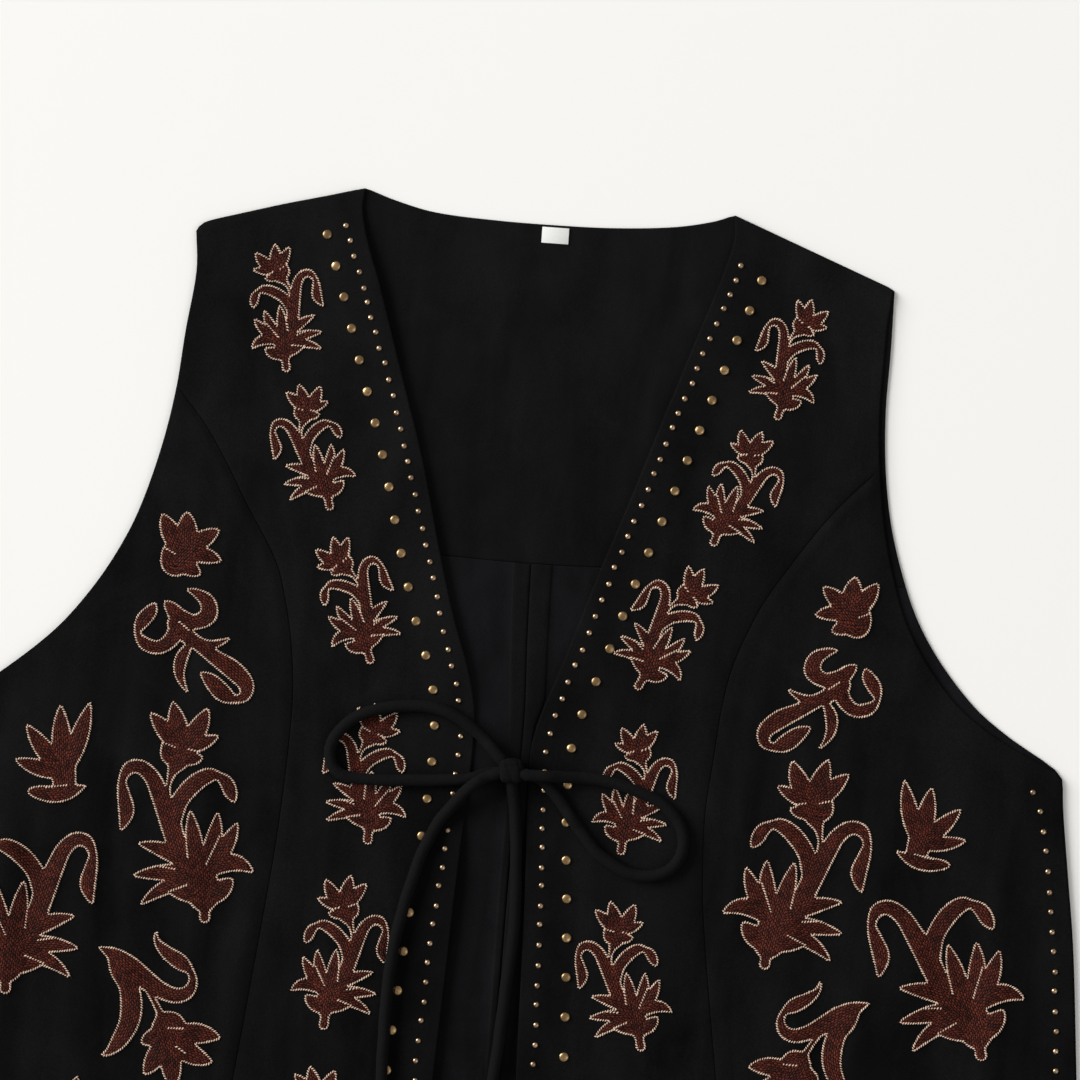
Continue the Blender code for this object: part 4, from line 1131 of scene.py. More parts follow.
def tube_mesh(name, line, radius, wrinkle):
    """A fabric tube along a line, closed at both ends, a little uneven where it bends."""
    bm = bmesh.new()
    layer = bm.loops.layers.uv.new("UVMap")
    rings, runs, run = [], [], 0.0
    count = len(line)
    for i, point in enumerate(line):
        ahead = line[min(i + 1, count - 1)] - line[max(i - 1, 0)]
        ahead.normalize()
        side = ahead.cross(Vector((0, 0, 1)))
        side.normalize()
        over = side.cross(ahead)
        if i:
            run += (point - line[i - 1]).length
        runs.append(run)
        before, after = line[max(i - 4, 0)], line[min(i + 4, count - 1)]
        bend = ((before + after) / 2 - point).length
        end = min(i, count - 1 - i) * TUBE_STEP
        close = math.sqrt(max(1 - (1 - min(end / radius, 1)) ** 2, 0.02))
        ring = []
        for k in range(TUBE_SIDES):
            angle = math.tau * k / TUBE_SIDES
            crimp = math.sin(run * 2.3 + 1.3 * math.sin(angle * 2 + run * 0.4))
            size = radius * close + wrinkle * min(bend, 1.0) * crimp
            size += TUBE_UNEVEN * math.sin(run * 0.31 + angle)
            place = point + side * math.cos(angle) * size + over * math.sin(angle) * size
            ring.append(bm.verts.new((place - Vector((0, MIDDLE_UP, 0))) * MM))
        rings.append(ring)
    for i in range(count - 1):
        for k in range(TUBE_SIDES):
            after = (k + 1) % TUBE_SIDES
            face = bm.faces.new((rings[i][k], rings[i][after], rings[i + 1][after],
                                 rings[i + 1][k]))
            for loop, (row, column) in zip(face.loops, ((i, k), (i, k + 1), (i + 1, k + 1),
                                                        (i + 1, k))):
                loop[layer].uv = (runs[row], column / TUBE_SIDES)
    for ring, tip in ((rings[0], line[0]), (rings[-1], line[-1])):
        middle = bm.verts.new((tip - Vector((0, MIDDLE_UP, 0))) * MM)
        for k in range(TUBE_SIDES):
            bm.faces.new((ring[k], ring[(k + 1) % TUBE_SIDES], middle))
    mesh = mesh_of(name, bm)
    outward(mesh)
    return mesh


def knot_mesh():
    """A squarish wrap of cord: a rounded block with the turns of the cord pressed into it."""
    bm = bmesh.new()
    bmesh.ops.create_cube(bm, size=2.0)
    bmesh.ops.subdivide_edges(bm, edges=bm.edges[:], cuts=KNOT_CUTS, use_grid_fill=True)
    half = KNOT_WIDTH / 2
    tall = (KNOT_TOP - KNOT_BASE) / 2
    for vert in bm.verts:
        x, y, z = vert.co
        size = sum(abs(c)**KNOT_SQUARENESS for c in (x, y, z)) ** (1 / KNOT_SQUARENESS)
        x, y, z = x / size, y / size, z / size
        over = 0.5 + 0.5 * z
        turn = abs(math.sin((x * 0.94 + y * 0.34) * KNOT_TURNS + 0.5))
        press = KNOT_PRESS * (1 - turn) ** 3 * over
        cross = math.exp(-((x * 0.25 - y * 0.97 + 0.42) / 0.1) ** 2) * KNOT_CROSSING * over
        reach = 1 - press - cross
        vert.co = Vector((x * half * reach + KNOT_ACROSS, y * half * reach - MIDDLE_UP,
                          (z * reach * tall + tall + KNOT_BASE))) * MM
    mesh = mesh_of("tie_knot", bm)
    outward(mesh)
    return mesh


class Stroke:
    """One leaf or ribbon of a motif: closely spaced spots, each with its half width."""

    def __init__(self, spots):
        self.spots = spots
        steps = np.diff(spots[:, :2], axis=0)
        self.run = np.concatenate([[0.0], np.cumsum(np.hypot(*steps.T))])
        ahead = np.gradient(spots[:, :2], axis=0)
        self.ahead = ahead / np.maximum(np.hypot(*ahead.T), 1e-9)[:, None]

    def depth(self, points):
        """How deep each point lies inside the stroke."""
        away = np.hypot(points[:, None, 0] - self.spots[None, :, 0],
                        points[:, None, 1] - self.spots[None, :, 1])
        return np.max(self.spots[None, :, 2] - away, axis=1)

    def along_and_off(self, points):
        """Distance along the stroke and to its side, for each point."""
        away = np.hypot(points[:, None, 0] - self.spots[None, :, 0],
                        points[:, None, 1] - self.spots[None, :, 1])
        near = np.argmin(away, axis=1)
        offset = points - self.spots[near, :2]
        ahead = self.ahead[near]
        along = self.run[near] + np.sum(offset * ahead, axis=1)
        return along, ahead[:, 0] * offset[:, 1] - ahead[:, 1] * offset[:, 0]


def leaf_stroke(leaf):
    """A pointed leaf, widest past its base, its spine bent to one side."""
    base, tip = np.array(leaf[:2]), np.array(leaf[2:4])
    run = tip - base
    length = np.hypot(*run)
    t = np.linspace(0, 1, max(int(length / STROKE_STEP), 8))
    side = np.array([-run[1], run[0]]) / length
    middle = base + run * t[:, None] + side * (4 * leaf.bend * t * (1 - t))[:, None]
    half = leaf.width / 2 * np.sin(math.pi * (LEAF_START + (1 - LEAF_START) * t)) ** 0.85
    return Stroke(np.column_stack([middle, half]))


def ribbon_stroke(spots):
    points = [Vector(s) for s in spots]
    return Stroke(np.array([tuple(p) for p in curve_through(points, STROKE_STEP)]))


def trace_level(field, xs, ys, level):
    """Closed lines where a field on a grid passes a level, as arrays of points."""
    inside = field > level
    links = {}

    def crossing(a, b):
        """Place between two grid corners, one on each side of the level."""
        (i, j), (k, m) = a, b
        share = (level - field[i, j]) / (field[k, m] - field[i, j])
        return (xs[j] + (xs[m] - xs[j]) * share, ys[i] + (ys[k] - ys[i]) * share)

    rows, columns = np.nonzero(np.abs(
        inside[:-1, :-1].astype(int) + inside[1:, :-1] + inside[:-1, 1:] + inside[1:, 1:] - 2)
        < 2)
    for i, j in zip(rows, columns):
        corners = ((i, j), (i, j + 1), (i + 1, j + 1), (i + 1, j))
        cuts = []
        for a, b in zip(corners, corners[1:] + corners[:1]):
            if inside[a] != inside[b]:
                cuts.append(((min(a, b), max(a, b)), inside[a]))
        if len(cuts) == 4 and not cuts[0][1]:
            cuts = cuts[1:] + cuts[:1]
        for (first, leaving), (second, _) in zip(cuts[::2], cuts[1::2]):
            start, end = (first, second) if leaving else (second, first)
            links[start] = end
    loops = []
    while links:
        start, end = links.popitem()
        loop = [start]
        while end != start:
            loop.append(end)
            end = links.pop(end)
        loops.append(np.array([crossing(*edge) for edge in loop]))
    return [loop for loop in loops if len(loop) > LEAST_LOOP]


def even_loop(loop, step):
    """A closed line, smoothed a little and cut into even steps."""
    loop = (np.roll(loop, 1, axis=0) + loop * 2 + np.roll(loop, -1, axis=0)) / 4
    closed = np.vstack([loop, loop[:1]])
    run = np.concatenate([[0.0], np.cumsum(np.hypot(*np.diff(closed, axis=0).T))])
    count = max(int(run[-1] / step), 8)
    at = np.linspace(0, run[-1], count, endpoint=False)
    return np.column_stack([np.interp(at, run, closed[:, k]) for k in range(2)])


class Drawing:
    """A motif worked out once: its outline loops, veins and filled surface."""

    def __init__(self, motif):
        self.strokes = ([leaf_stroke(leaf) for leaf in motif.leaves]
                        + [ribbon_stroke(ribbon) for ribbon in motif.ribbons])
        spots = np.vstack([s.spots for s in self.strokes])
        low = spots[:, :2].min(axis=0) - FIELD_MARGIN - 6
        high = spots[:, :2].max(axis=0) + FIELD_MARGIN + 6
        xs = np.arange(low[0], high[0], FIELD_STEP)
        ys = np.arange(low[1], high[1], FIELD_STEP)
        grid = np.stack(np.meshgrid(xs, ys), axis=-1).reshape(-1, 2)
        field = self.depth(grid).reshape(len(ys), len(xs))
        border = [even_loop(loop, OUTLINE_STEP) for loop in trace_level(field, xs, ys, 0.0)]
        self.outlines = [even_loop(loop, OUTLINE_STEP)
                         for loop in trace_level(field, xs, ys, OUTLINE_INSET)]
        self.veins = [np.linspace(a, b, 6) for a, b in motif.veins]
        self.fill(border, xs, ys)

    def depth(self, points):
        return np.max([s.depth(points) for s in self.strokes], axis=0)

    def fill(self, border, xs, ys):
        """Triangles over the whole motif, with the run of its stitches on each."""
        inner = np.stack(np.meshgrid(np.arange(xs[0], xs[-1], FILL_STEP),
                                     np.arange(ys[0], ys[-1], FILL_STEP * 0.87)), axis=-1)
        inner[1::2, :, 0] += FILL_STEP / 2
        inner = inner.reshape(-1, 2)
        inner = inner[self.depth(inner) > FILL_STEP * 0.45]
        points, edges = [Vector(p) for p in inner], []
        for loop in border:
            first = len(points)
            points += [Vector(p) for p in loop]
            count = len(loop)
            edges += [(first + k, first + (k + 1) % count) for k in range(count)]
        flat, _, faces, *_ = delaunay_2d_cdt(points, edges, [], 0, 1e-4)
        flat = np.array([tuple(p) for p in flat])
        faces = np.array(faces)
        middle = flat[faces].mean(axis=1)
        depths = np.array([s.depth(middle) for s in self.strokes])
        faces = faces[np.max(depths, axis=0) > -0.15]
        owner = np.argmax(depths[:, np.max(depths, axis=0) > -0.15], axis=0)
        self.points, self.faces = flat, faces
        self.depths = np.maximum(self.depth(flat), 0)
        self.uvs = np.zeros((len(faces), 3, 2))
        for k, stroke in enumerate(self.strokes):
            mine = owner == k
            if mine.any():
                along, off = stroke.along_and_off(flat[faces[mine]].reshape(-1, 2))
                self.uvs[mine] = np.column_stack([along, off]).reshape(-1, 3, 2)


def sewn(place, points):
    """Carry a motif's points to where it is sewn on the vest."""
    turn = math.radians(place.turn)
    x = points[:, 0] * (-1 if place.mirror else 1) * place.size
    y = points[:, 1] * place.size * place.tall
    return (place.across + x * math.cos(turn) - y * math.sin(turn),
            place.up + x * math.sin(turn) + y * math.cos(turn))


def fill_mesh(name, side, places, drawings, height):
    """All filled surfaces on one panel, raised a little from the cloth."""
    verts, faces, uvs = [], [], []
    for place in places:
        drawing = drawings[place.motif]
        across, up = sewn(place, drawing.points)
        share = np.minimum(drawing.depths * place.size / FILL_EDGE, 1.0)
        raised = (height + FILL_BED) * np.sqrt(1 - (1 - share) ** 2) - FILL_BED
        first = sum(len(v) for v in verts)
        verts.append(metres(across, up, front_top(side, across, up) + raised))
        order = (0, 2, 1) if place.mirror else (0, 1, 2)
        faces.append(drawing.faces[:, order] + first)
        uvs.append(drawing.uvs[:, order] * place.size)
    mesh = bpy.data.meshes.new(name)
    mesh.from_pydata(np.concatenate(verts).tolist(), [], np.concatenate(faces).tolist())
    layer = mesh.uv_layers.new(name="UVMap")
    layer.data.foreach_set("uv", np.concatenate(uvs).ravel())
    mesh.update()
    return mesh


def outline_guide(name, side, places, drawings, height):
    """Guide lines of the outline stitches of one panel."""
    curve = bpy.data.curves.new(name, "CURVE")
    curve.dimensions = "3D"
    for place in places:
        drawing = drawings[place.motif]
        lines = [(loop, True) for loop in drawing.outlines]
        lines += [(vein, False) for vein in drawing.veins]
        for line, closed in lines:
            across, up = sewn(place, line)
            points = metres(across, up, front_top(side, across, up) + height)
            spline = curve.splines.new("POLY")
            spline.points.add(len(points) - 1)
            spline.points.foreach_set("co", np.column_stack(
                [points, np.ones(len(points))]).ravel())
            spline.use_cyclic_u = closed
    return placed(name, curve)


def point_guide(name, points):
    """A guide of loose points."""
    mesh = bpy.data.meshes.new(name)
    mesh.from_pydata([tuple(p) for p in points], [], [])
    return placed(name, mesh)


class VestCloth(bpy.types.PropertyGroup):
    outer: FloatVectorProperty(
        name="Suede", description="Colour of the brushed outside of the cloth",
        subtype="COLOR", size=3, min=0.0, max=1.0, default=(0.0039, 0.0039, 0.0039))
    inner: FloatVectorProperty(
        name="Reverse", description="Colour of the cloth's reverse, seen on the lower back",
        subtype="COLOR", size=3, min=0.0, max=1.0, default=(0.0050, 0.0050, 0.0057))
    sheen: FloatProperty(
        name="Sheen", description="Strength of the nap's soft sheen",
        subtype="FACTOR", min=0.0, max=1.0, default=0.001)
    nap: FloatProperty(
        name="Nap", description="Depth of the brushed nap", subtype="FACTOR",
        min=0.0, max=2.0, default=1.0)
    label: FloatVectorProperty(
        name="Label", description="Colour of the woven size label, which is left bare",
        subtype="COLOR", size=3, min=0.0, max=1.0, default=(0.86, 0.86, 0.84))


class VestTie(bpy.types.PropertyGroup):
    diameter: FloatProperty(
        name="Cord diameter", description="Thickness of the fabric cord", unit="LENGTH",
        min=0.003, max=0.008, default=CORD_RADIUS * 2 * MM)
    wrinkle: FloatProperty(
        name="Wrinkles", description="Depth of the wrinkles where the cord bends",
        unit="LENGTH", min=0.0, max=0.001, default=0.00018)
    color: FloatVectorProperty(
        name="Cord", description="Colour of the cord", subtype="COLOR", size=3,
        min=0.0, max=1.0, default=(0.0040, 0.0040, 0.0042))


class VestEmbroidery(bpy.types.PropertyGroup):
    fill: FloatVectorProperty(
        name="Fill thread", description="Colour of the rows of chain stitch",
        subtype="COLOR", size=3, min=0.0, max=1.0, default=(0.055, 0.0100, 0.0052))
    outline: FloatVectorProperty(
        name="Outline thread", description="Colour of the pale twisted outline",
        subtype="COLOR", size=3, min=0.0, max=1.0, default=(0.90, 0.60, 0.455))
    padding: FloatProperty(
        name="Padding", description="Height of the filled leaves over the cloth",
        unit="LENGTH", min=0.0, max=0.002, default=0.0006)
    row: FloatProperty(
        name="Row width", description="Width of one row of the fill", unit="LENGTH",
        min=0.0005, max=0.003, default=0.00110)
    stitch: FloatProperty(
        name="Fill stitch", description="Length of one stitch of the fill", unit="LENGTH",
        min=0.001, max=0.006, default=0.0021)
    pitch: FloatProperty(
        name="Outline pitch", description="Distance from one outline stitch to the next",
        unit="LENGTH", min=0.001, max=0.004, default=0.00128)
    length: FloatProperty(
        name="Outline stitch", description="Length of one outline stitch", unit="LENGTH",
        min=0.001, max=0.005, default=0.00155)
    width: FloatProperty(
        name="Thread width", description="Thickness of the outline thread", unit="LENGTH",
        min=0.0003, max=0.002, default=0.00072)
    seed: IntProperty(
        name="Seed", description="Picks the small unevenness of the stitches", default=3)


class VestStuds(bpy.types.PropertyGroup):
    large: FloatProperty(
        name="Large stud", description="Diameter of the larger studs", unit="LENGTH",
        min=0.003, max=0.008, default=0.0050)
    large_height: FloatProperty(
        name="Large height", description="Height of the larger studs", unit="LENGTH",
        min=0.0003, max=0.002, default=0.0011)
    small: FloatProperty(
        name="Small stud", description="Diameter of the smaller studs", unit="LENGTH",
        min=0.001, max=0.005, default=0.0031)
    small_height: FloatProperty(
        name="Small height", description="Height of the smaller studs", unit="LENGTH",
        min=0.0003, max=0.002, default=0.0010)
    large_color: FloatVectorProperty(
        name="Large brass", description="Colour of the larger studs", subtype="COLOR",
        size=3, min=0.0, max=1.0, default=(0.45, 0.295, 0.145))
    small_color: FloatVectorProperty(
        name="Small brass", description="Colour of the smaller studs", subtype="COLOR",
        size=3, min=0.0, max=1.0, default=(0.58, 0.40, 0.255))
    seed: IntProperty(
        name="Seed", description="Picks the small unevenness of the hand-set studs",
        default=8)


class VestStage(bpy.types.PropertyGroup):
    floor: FloatVectorProperty(
        name="Surface", description="Colour of the pale surface the vest lies on",
        subtype="COLOR", size=3, min=0.0, max=1.0, default=(0.90, 0.89, 0.865))
    view_width: FloatProperty(
        name="View width", description="Width of the view at the cloth", unit="LENGTH",
        min=0.2, max=1.5, default=0.54)
    height: FloatProperty(
        name="Camera height", description="Height of the camera over the cloth",
        unit="LENGTH", min=0.6, max=4.0, default=1.6)
    turn: FloatProperty(
        name="Turn", description="Turn of the view against the vest", subtype="ANGLE",
        default=math.radians(4.2))
    key: FloatProperty(
        name="Key light", description="Power of the soft light from the left in watts",
        min=0.0, max=9000.0, default=2050.0)
    fill: FloatProperty(
        name="Room light", description="Strength of the even light around",
        min=0.0, max=5.0, default=0.36)


class VEST_OT_stage(bpy.types.Operator):
    """Add the camera at the photo's angle, the soft light and the pale surface"""

    bl_idname = "vest.stage"
    bl_label = "Stage"

    def execute(self, context):
        look = context.scene.vest_stage
        data = bpy.data.cameras.new("camera")
        data.sensor_width = 36.0
        data.lens = data.sensor_width * look.height / look.view_width
        camera = placed("camera", data)
        camera.location = (VIEW_CENTRE[0], VIEW_CENTRE[1], look.height + CLOTH_HEIGHT)
        camera.rotation_euler = (0, 0, look.turn)
        context.scene.camera = camera

        context.scene.view_settings.view_transform = "Standard"
        world = bpy.data.worlds.new("room")
        world.use_nodes = True
        back = world.node_tree.nodes["Background"]
        back.inputs["Color"].default_value = (1.0, 0.995, 0.985, 1.0)
        back.inputs["Strength"].default_value = look.fill
        context.scene.world = world
        for name, place, size, power in KEY_LIGHTS:
            light = bpy.data.lights.new(name, "AREA")
            light.shape = "SQUARE"
            light.size = size
            light.energy = power * look.key
            lamp = placed(name, light)
            lamp.location = place
            aim = Vector((VIEW_CENTRE[0], VIEW_CENTRE[1], 0)) - Vector(place)
            lamp.rotation_euler = aim.to_track_quat("-Z", "Y").to_euler()

        bm = bmesh.new()
        bmesh.ops.create_grid(bm, x_segments=2, y_segments=2, size=FLOOR_HALF_WIDTH)
        surface = placed("surface", mesh_of("surface", bm))
        surface.data.materials.append(floor_finish("pale_surface", look.floor))
        surface.location = (0, 0, -FLOOR_DROP)
        return {"FINISHED"}


class VEST_OT_tie(bpy.types.Operator):
    """Lay the two loops and two tails of the cord and wrap its knot"""

    bl_idname = "vest.tie"
    bl_label = "Tie"

    def execute(self, context):
        look = context.scene.vest_tie
        finish = cord_finish("suede_cord", look.color)
        knot = add_piece("bow_knot", knot_mesh(), suede_finish(
            "knot_suede", look.color, 0.002, 1.0), ("tie_knot",))
        for name in TIE_ROUTES:
            line = tie_line(name)
            mesh = tube_mesh(name, line, look.diameter / 2 / MM, look.wrinkle / MM)
            piece = add_piece("cord_" + name[4:], mesh, finish, (name,))
        return {"FINISHED"}


def add_sheet(name, node, across, up, top, under, finish):
    """Add a panel as a sheet of cloth that lies where its solid does."""
    piece = add_piece(name, shell_mesh(name, across, up, top, under), finish, (node,))
    return piece


def panel_grid(borders, ups, columns):
    """Points over a panel, with each one's distance from the nearest side and end."""
    low, high, inner, outer = borders
    v = (ups - ups[0]) / (ups[-1] - ups[0])
    width = np.abs(outer(v)[0] - inner(v)[0])
    u = np.array([rimmed(w, columns) / w for w in width])
    across, up = patch_points(borders, u, v[:, None])
    from_inner, from_outer = u * width[:, None], (1 - u) * width[:, None]
    length = ups[-1] - ups[0]
    from_low = np.broadcast_to(v[:, None] * length, across.shape)
    from_high = np.broadcast_to((1 - v[:, None]) * length, across.shape)
    return across, up, from_inner, from_outer, from_low, from_high


def across_between(inner, outer, v, u):
    """Across of the points a share u of the way between two borders, at v on both."""
    start = inner(v)[0]
    return start + (outer(v)[0] - start) * u


def along_hem(inner, outer):
    """A panel's lower border, on the hem between its two upright borders."""
    def low(u):
        across = across_between(inner, outer, 0.0, u)
        return across, hem_at(across)
    return low


def front_faces(side, across, up, distances, shoulder):
    """Upper and lower face of a front, its folded edges rolled, its shoulder turned down."""
    top = front_top(side, across, up)
    under = front_under(side, across, up)
    nearest = np.minimum.reduce(distances)
    roll = rolled(nearest, EDGE_ROLL, WALL / 2)
    if shoulder:
        top = top - rolled(distances[3], SHOULDER_TURN, SHOULDER_DROP)
        roll = np.minimum(roll, (top - under) / 2)
        return top - roll, np.where(nearest <= 0, top - roll, under + roll)
    return top - roll, under + roll


def add_front(kind, side, borders, rows, finish):
    """Add one front panel over the back beneath it."""
    across, up, *distances = panel_grid(borders, rows, PANEL_COLUMNS)
    top, under = front_faces(side, across, up, distances, kind == "centre")
    add_sheet(f"{kind}_front_{side}", f"front_{kind}_{side}", across, up, top, under,
              finish)


class VEST_OT_fronts(bpy.types.Operator):
    """Lay the four front panels, with their folds and rolled edges"""

    bl_idname = "vest.fronts"
    bl_label = "Fronts"

    def execute(self, context):
        look = context.scene.vest_cloth
        finish = suede_finish("black_suede", look.outer, look.sheen, look.nap)
        for side in ("right", "left"):
            sign = side_sign(side)
            seam = CURVED_SEAM[side]
            corner_up = seam[0].up
            line_up = ARMHOLE[side][0].up - SHOULDER_ROLL
            tip_up = line_up + SHOULDER_RISE[side][0][1]
            neck_up = NECK_UP - SHOULDER_ROLL

            def inner(v):
                up = HEM_UP + (neck_up - HEM_UP) * v
                return table_at(FRONT_EDGE[side], up), border_up(
                    FRONT_EDGE[side][-1].across, up)

            def outer(v):
                up = HEM_UP + (tip_up - HEM_UP) * v
                on_seam = table_at(seam, up) - sign * SEAM_GAP
                across = np.where(up <= corner_up, on_seam, front_armhole(side, up))
                return across, border_up(seam[-1].across, up)

            def high(u):
                neck = inner(1.0)[1]
                return across_between(inner, outer, 1.0, u), (
                    neck + (line_up - neck) * u + table_at(SHOULDER_RISE[side], 1 - u))

            rows = rimmed(tip_up - HEM_UP, PANEL_ROWS) + HEM_UP
            rows = np.unique(np.append(rows, (corner_up, corner_up + SEAM_END)))
            add_front("centre", side, (along_hem(inner, outer), high, inner, outer), rows,
                      finish)

            def side_inner(v):
                up = HEM_UP + (corner_up - HEM_UP) * v
                return table_at(seam, up) + sign * SEAM_GAP, border_up(seam[-1].across, up)

            def side_outer(v):
                up = HEM_UP + (corner_up + SEAM_END - HEM_UP) * v
                return front_armhole(side, up), border_up(HEM_HALF_WIDTH, up)

            def side_high(u):
                start, end = side_inner(1.0), side_outer(1.0)
                return start[0] + (end[0] - start[0]) * u, start[1] + (end[1] - start[1]) * u

            rows = rimmed(corner_up - HEM_UP, PANEL_ROWS) + HEM_UP
            add_front("side", side, (along_hem(side_inner, side_outer), side_high,
                                     side_inner, side_outer), rows, finish)
        return {"FINISHED"}


def add_back(name, node, across, up, from_edge, finish):
    """Add one panel of the back, flat beneath, with its edges rolled."""
    roll = rolled(from_edge, EDGE_ROLL, WALL / 2)
    bed = np.where(roll >= WALL / 2, WALL / 2, 0.0)
    return add_sheet(name, node, across, up, back_top(across, up) - roll, bed, finish)


class VEST_OT_back(bpy.types.Operator):
    """Lay the yoke and the two lower backs, whose insides show between the fronts"""

    bl_idname = "vest.back"
    bl_label = "Back"

    def execute(self, context):
        look = context.scene.vest_cloth
        yoke_finish = suede_finish("yoke_suede", look.outer, look.sheen, look.nap)
        tips = {side: ARMHOLE[side][0] for side in ARMHOLE}

        def edge(side, v):
            end = YOKE_SEAM[-1] if side == "left" else YOKE_SEAM[0]
            low_up = end.up + SEAM_GAP
            up = low_up + (tips[side].up + SHOULDER_RISE[side][0][1] - low_up) * v
            return back_armhole(side, up), up

        def low(u):
            start, end = edge("right", 0.0)[0], edge("left", 0.0)[0]
            across = start + (end - start) * u
            return across, table_at(YOKE_SEAM, across) + SEAM_GAP

        def high(u):
            corners = ((0.0, *tips["right"][::-1]), (NECK_FROM, *NECK_CURVE[0]),
                       (NECK_TO, *NECK_CURVE[-1]), (1.0, *tips["left"][::-1]))
            across = np.interp(u, [c[0] for c in corners], [c[1] for c in corners])
            up = np.interp(u, [c[0] for c in corners], [c[2] for c in corners])
            for side, share in (("right", u / NECK_FROM), ("left", (1 - u) / (1 - NECK_TO))):
                up = up + np.where(share <= 1, table_at(SHOULDER_RISE[side], share), 0.0)
            inside = (u > NECK_FROM) & (u < NECK_TO)
            return across, np.where(inside, table_at(NECK_CURVE, across), up)

        borders = (low, high, lambda v: edge("right", v), lambda v: edge("left", v))
        rows = rimmed(tips["right"].up - YOKE_SEAM[0].up, YOKE_ROWS) + YOKE_SEAM[0].up
        across, up, *distances = panel_grid(borders, rows, YOKE_COLUMNS)
        add_back("yoke_of_back", "back_yoke", across, up, np.minimum.reduce(distances),
                 yoke_finish)

        finish = suede_finish("suede_reverse", look.inner, look.sheen, look.nap, look.outer)
        for side in ("right", "left"):
            sign = side_sign(side)
            end = YOKE_SEAM[-1] if side == "left" else YOKE_SEAM[0]
            middle_top = YOKE_SEAM[2].up - SEAM_GAP

            def inner(v):
                up = HEM_UP + (middle_top - HEM_UP) * v
                return back_seam_at(up) + sign * SEAM_GAP, up

            def outer(v):
                up = HEM_UP + (end.up - SEAM_GAP - HEM_UP) * v
                return back_armhole(side, up), border_up(HEM_HALF_WIDTH, up)

            def high_edge(u):
                across = across_between(inner, outer, 1.0, u)
                return across, table_at(YOKE_SEAM, across) - SEAM_GAP

            rows = rimmed(end.up - SEAM_GAP - HEM_UP, BACK_ROWS) + HEM_UP
            v = (rows - rows[0]) / (rows[-1] - rows[0])
            width = np.abs(outer(v)[0] - inner(v)[0])
            strip = table_at(ALLOWANCE_WIDTH[side], rows)
            rim = np.array(RIM_STEPS)
            distance = np.array([np.concatenate([
                rim, np.linspace(rim[-1], s - STRIP_RIM[-1], STRIP_COLUMNS)[1:-1],
                s + np.array(STRIP_RIM[::-1]) * -1, s + np.array(STRIP_RIM[1:]),
                np.linspace(s + STRIP_RIM[-1], w - rim[-1], BACK_COLUMNS)[1:-1],
                w - rim[::-1]]) for s, w in zip(strip, width)])
            u = distance / width[:, None]
            across, up = patch_points(
                (along_hem(inner, outer), high_edge, inner, outer), u, v[:, None])
            from_ends = np.minimum(v, 1 - v)[:, None] * (rows[-1] - rows[0])
            nearest = np.minimum(np.minimum(distance, width[:, None] - distance), from_ends)
            piece = add_back("lower_back_" + side, "back_lower_" + side, across, up, nearest,
                             finish)
            turned = ease((strip[:, None] - distance) / ALLOWANCE_EDGE + 0.5)
            mark_points(piece.data, TURNED, turned.ravel())
        return {"FINISHED"}


class VEST_OT_embroidery(bpy.types.Operator):
    """Sew the sprigs, buds, blooms, scrolls and vines on the four front panels"""

    bl_idname = "vest.embroidery"
    bl_label = "Embroidery"

    def execute(self, context):
        look = context.scene.vest_embroidery
        fill = fill_finish("fill_stitches", look.fill, look.row / MM, look.stitch / MM)
        thread = thread_finish("outline_thread", look.outline)
        drawings = {name: Drawing(motif) for name, motif in MOTIFS.items()}
        tree = stitch_tree()
        for panel, places in MOTIF_PLACES.items():
            side = panel.rsplit("_", 1)[1]
            part = panel[6:]
            mesh = fill_mesh("fill_" + part, side, places, drawings, look.padding / MM)
            add_piece("sprigs_" + part, mesh, fill)
            guide = outline_guide("outline_" + part, side, places, drawings,
                                  look.padding / MM + OUTLINE_RISE)
            mesh = grown_mesh(guide, tree, {
                "Stitch pitch": look.pitch, "Stitch length": look.length,
                "Thread width": look.width, "Seed": look.seed, "Finish": thread},
                "outline_" + part)
            add_piece("sprig_outlines_" + part, mesh, thread)
        return {"FINISHED"}


class VEST_OT_studs(bpy.types.Operator):
    """Set the large and small brass studs along the front edges and side seams"""

    bl_idname = "vest.studs"
    bl_label = "Studs"

    def execute(self, context):
        look = context.scene.vest_studs
        finishes = (brass_finish("pale_brass", look.large_color, 0.5),
                    brass_finish("red_brass", look.small_color, 0.4))
        tree = stud_tree()
        random = np.random.default_rng(look.seed)
        for side in ("right", "left"):
            for kind, places, finish, size, height in (
                    (LARGE_STUD, large_stud_places(side), finishes[0], look.large,
                     look.large_height),
                    (SMALL_STUD, small_stud_places(side), finishes[1], look.small,
                     look.small_height)):
                shift = random.normal(0, 1, (len(places), 2)) * kind.uneven
                across = np.array([p.across for p in places]) + shift[:, 0]
                up = np.array([p.up for p in places]) + shift[:, 1]
                name = f"{kind.name}_studs_{side}"
                guide = point_guide(name, metres(across, up, front_top(side, across, up)))
                mesh = grown_mesh(guide, tree, {
                    "Diameter": size, "Height": height, "Roundness": kind.roundness,
                    "Tilt": kind.tilt, "Sides": kind.sides, "Rings": kind.rings,
                    "Seed": look.seed, "Finish": finish}, name)
                add_piece(name, mesh, finish)
        return {"FINISHED"}


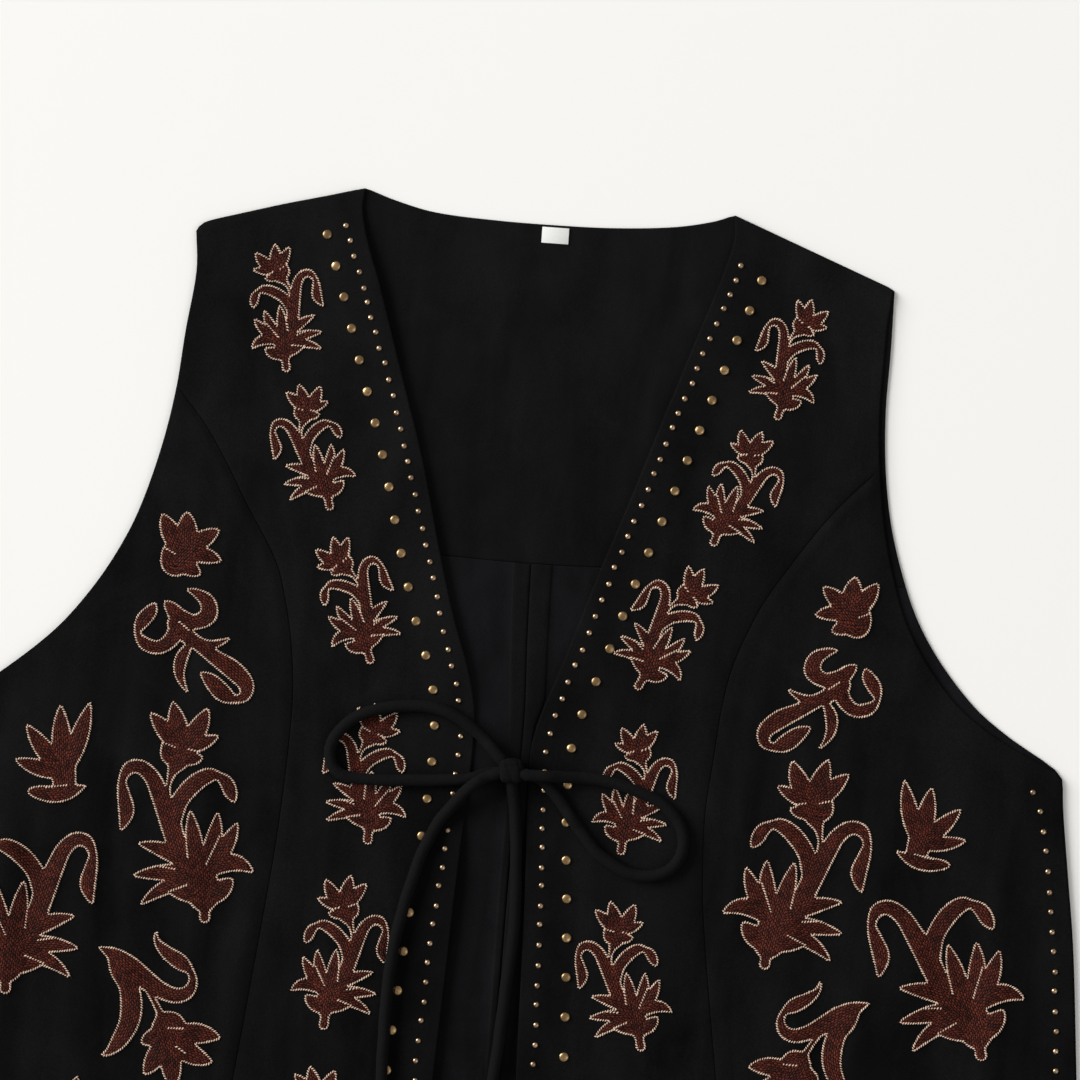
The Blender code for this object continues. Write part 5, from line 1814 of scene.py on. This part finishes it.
class VEST_OT_label(bpy.types.Operator):
    """Sew the bare woven label inside the back neck"""

    bl_idname = "vest.label"
    bl_label = "Size label"

    def execute(self, context):
        bm = bmesh.new()
        bmesh.ops.create_cube(bm, size=1.0)
        for vert in bm.verts:
            vert.co = Vector((
                vert.co.x * LABEL_WIDTH + LABEL_ACROSS,
                vert.co.y * LABEL_LENGTH + LABEL_UP - MIDDLE_UP,
                (vert.co.z + 0.5) * LABEL_THICKNESS + WALL + GAP / 2)) * MM
        bmesh.ops.bevel(bm, geom=bm.edges[:], offset=LABEL_ROUNDING * MM, segments=2, profile=0.5,
                        affect="EDGES")
        add_piece("woven_label", mesh_of("woven_label", bm), label_finish(
            "white_tape", context.scene.vest_cloth.label), ("size_label",))
        return {"FINISHED"}


class VEST_PT_pieces(bpy.types.Panel):
    """Lists the vest's pieces and their sizes and colours"""

    bl_idname = "VEST_PT_pieces"
    bl_label = "Embroidered vest"
    bl_space_type = "VIEW_3D"
    bl_region_type = "UI"
    bl_category = "Vest"

    def draw(self, context):
        for group, _ in GROUPS:
            settings = getattr(context.scene, group)
            box = self.layout.box()
            box.label(text=group.replace("_", " ").capitalize())
            for label in settings.bl_rna.properties.keys():
                if label not in ("name", "rna_type"):
                    box.prop(settings, label)
        for operator in OPERATORS:
            self.layout.operator(operator.bl_idname)


GROUPS = (("vest_stage", VestStage), ("vest_tie", VestTie), ("vest_cloth", VestCloth),
          ("vest_embroidery", VestEmbroidery), ("vest_studs", VestStuds))
OPERATORS = (VEST_OT_stage, VEST_OT_tie, VEST_OT_back, VEST_OT_fronts, VEST_OT_embroidery,
             VEST_OT_studs, VEST_OT_label)


def register():
    for name, group in GROUPS:
        bpy.utils.register_class(group)
        setattr(bpy.types.Scene, name, PointerProperty(type=group))
    for operator in OPERATORS:
        bpy.utils.register_class(operator)
    bpy.utils.register_class(VEST_PT_pieces)


def unregister():
    bpy.utils.unregister_class(VEST_PT_pieces)
    for operator in reversed(OPERATORS):
        bpy.utils.unregister_class(operator)
    for name, group in reversed(GROUPS):
        delattr(bpy.types.Scene, name)
        bpy.utils.unregister_class(group)


def main():
    register()
    bpy.ops.vest.stage()
    bpy.ops.vest.tie()
    bpy.ops.vest.back()
    bpy.ops.vest.fronts()
    bpy.ops.vest.embroidery()
    bpy.ops.vest.studs()
    bpy.ops.vest.label()


if __name__ == "__main__":
    main()
